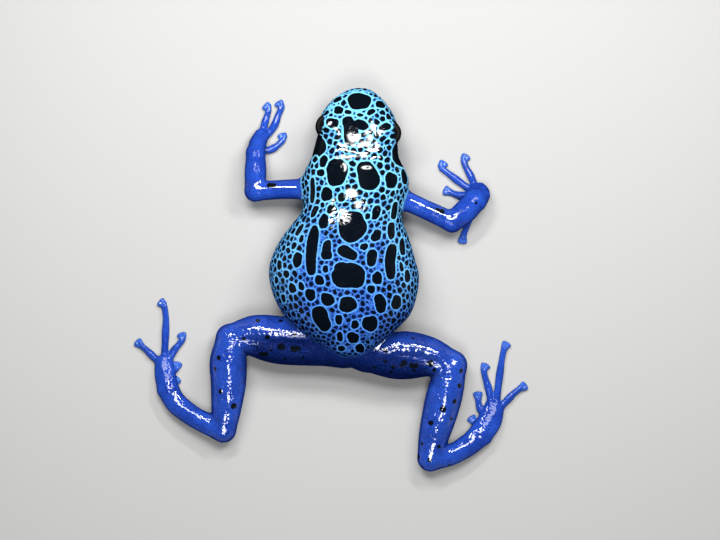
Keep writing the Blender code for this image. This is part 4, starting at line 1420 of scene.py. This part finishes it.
def make_eye(side, material):
    """A glossy ball whose pupil is a level oval, looking out of the lids."""
    aim, across, up = eye_axes(side)
    rings, count = 48, 64
    angle = np.linspace(0, math.pi, rings + 1)[:, None]
    turn = np.linspace(0, 2 * math.pi, count, endpoint=False)[None, :]
    out = np.cos(angle) + 0 * turn
    wide = np.sin(angle) * np.cos(turn)
    high = np.sin(angle) * np.sin(turn)
    places = out[..., None] * aim + wide[..., None] * across + high[..., None] * up
    points = np.array(EYE_CENTRE[side]) + EYE_RADIUS * places.reshape(-1, 3)
    row, column = np.meshgrid(np.arange(rings), np.arange(count), indexing="ij")
    after = (column + 1) % count
    ring, next_ring = row * count, (row + 1) * count
    corners = [ring + column, next_ring + column, next_ring + after, ring + after]
    faces = np.stack([corner.ravel() for corner in corners], axis=1)
    piece = mesh_object(f"eyeball_{side}", points, faces)
    from_pupil = np.hypot(wide / 1.15, high * 1.2).ravel()
    add_values(piece, "turn", np.where(out.ravel() > 0, from_pupil, 1.0))
    piece.data.materials.append(material)
    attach(piece, "root")
    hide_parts(f"eye_{side}")


def make_floor():
    """A large pale floor to stand on."""
    mesh = bpy.data.meshes.new("floor")
    mesh.from_pydata([(-2, -2, 0), (2, -2, 0), (2, 2, 0), (-2, 2, 0)], [], [(0, 1, 2, 3)])
    floor = bpy.data.objects.new("floor", mesh)
    bpy.context.scene.collection.objects.link(floor)
    n = Nodes("floor")
    mesh.materials.append(n.finish({"Base Color": FLOOR_GREY, "Roughness": 0.85}))


def area_light(name, place, target, width, height, power):
    data = bpy.data.lights.new(name, "AREA")
    data.shape = "RECTANGLE"
    data.size = width * MM
    data.size_y = height * MM
    data.energy = power
    lamp = bpy.data.objects.new(name, data)
    lamp.location = Vector(place) * MM
    lamp.rotation_euler = (Vector(target) - Vector(place)).to_track_quat("-Z", "Y").to_euler()
    bpy.context.scene.collection.objects.link(lamp)


def make_world():
    """A studio that is bright near the horizon and dim overhead."""
    world = bpy.data.worlds.new("studio")
    bpy.context.scene.world = world
    world.use_nodes = True
    tree = world.node_tree
    height = tree.nodes.new("ShaderNodeSeparateXYZ")
    tree.links.new(tree.nodes.new("ShaderNodeTexCoord").outputs["Generated"], height.inputs[0])
    fade = tree.nodes.new("ShaderNodeMapRange")
    tree.links.new(height.outputs["Z"], fade.inputs["Value"])
    fade.inputs["From Min"].default_value = 0.0
    fade.inputs["From Max"].default_value = OVERHEAD_FROM
    fade.inputs["To Min"].default_value = HORIZON_STRENGTH
    fade.inputs["To Max"].default_value = OVERHEAD_STRENGTH
    background = tree.nodes["Background"]
    background.inputs["Color"].default_value = (*SKY_WHITE, 1.0)
    tree.links.new(fade.outputs[0], background.inputs["Strength"])


def make_camera():
    """Looks straight down, as the photo does."""
    data = bpy.data.cameras.new("camera")
    camera = bpy.data.objects.new("camera", data)
    bpy.context.scene.collection.objects.link(camera)
    bpy.context.scene.camera = camera
    view_x, view_y = plan_place(PHOTO_SIZE[0] / 2, PHOTO_SIZE[1] / 2)
    camera.location = (np.array((view_x, view_y, CAMERA_HEIGHT)) + TO_MIDDLE) * MM
    data.sensor_width = SENSOR_WIDTH
    data.lens = SENSOR_WIDTH * (CAMERA_HEIGHT - PHOTO_PLANE) / (PHOTO_SIZE[0] * PIXEL)
    data.clip_start = 0.01


skin = make_skin()
skin.data.materials.append(skin_material())
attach(skin, "root")
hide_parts(*[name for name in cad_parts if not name.startswith("eye_")])
eye_finish = eye_material()
for side in SIDES:
    make_eye(side, eye_finish)

make_floor()
for name, settings in LAMPS.items():
    area_light(name, *settings)
make_world()
make_camera()
bpy.context.scene.view_settings.view_transform = "Standard"
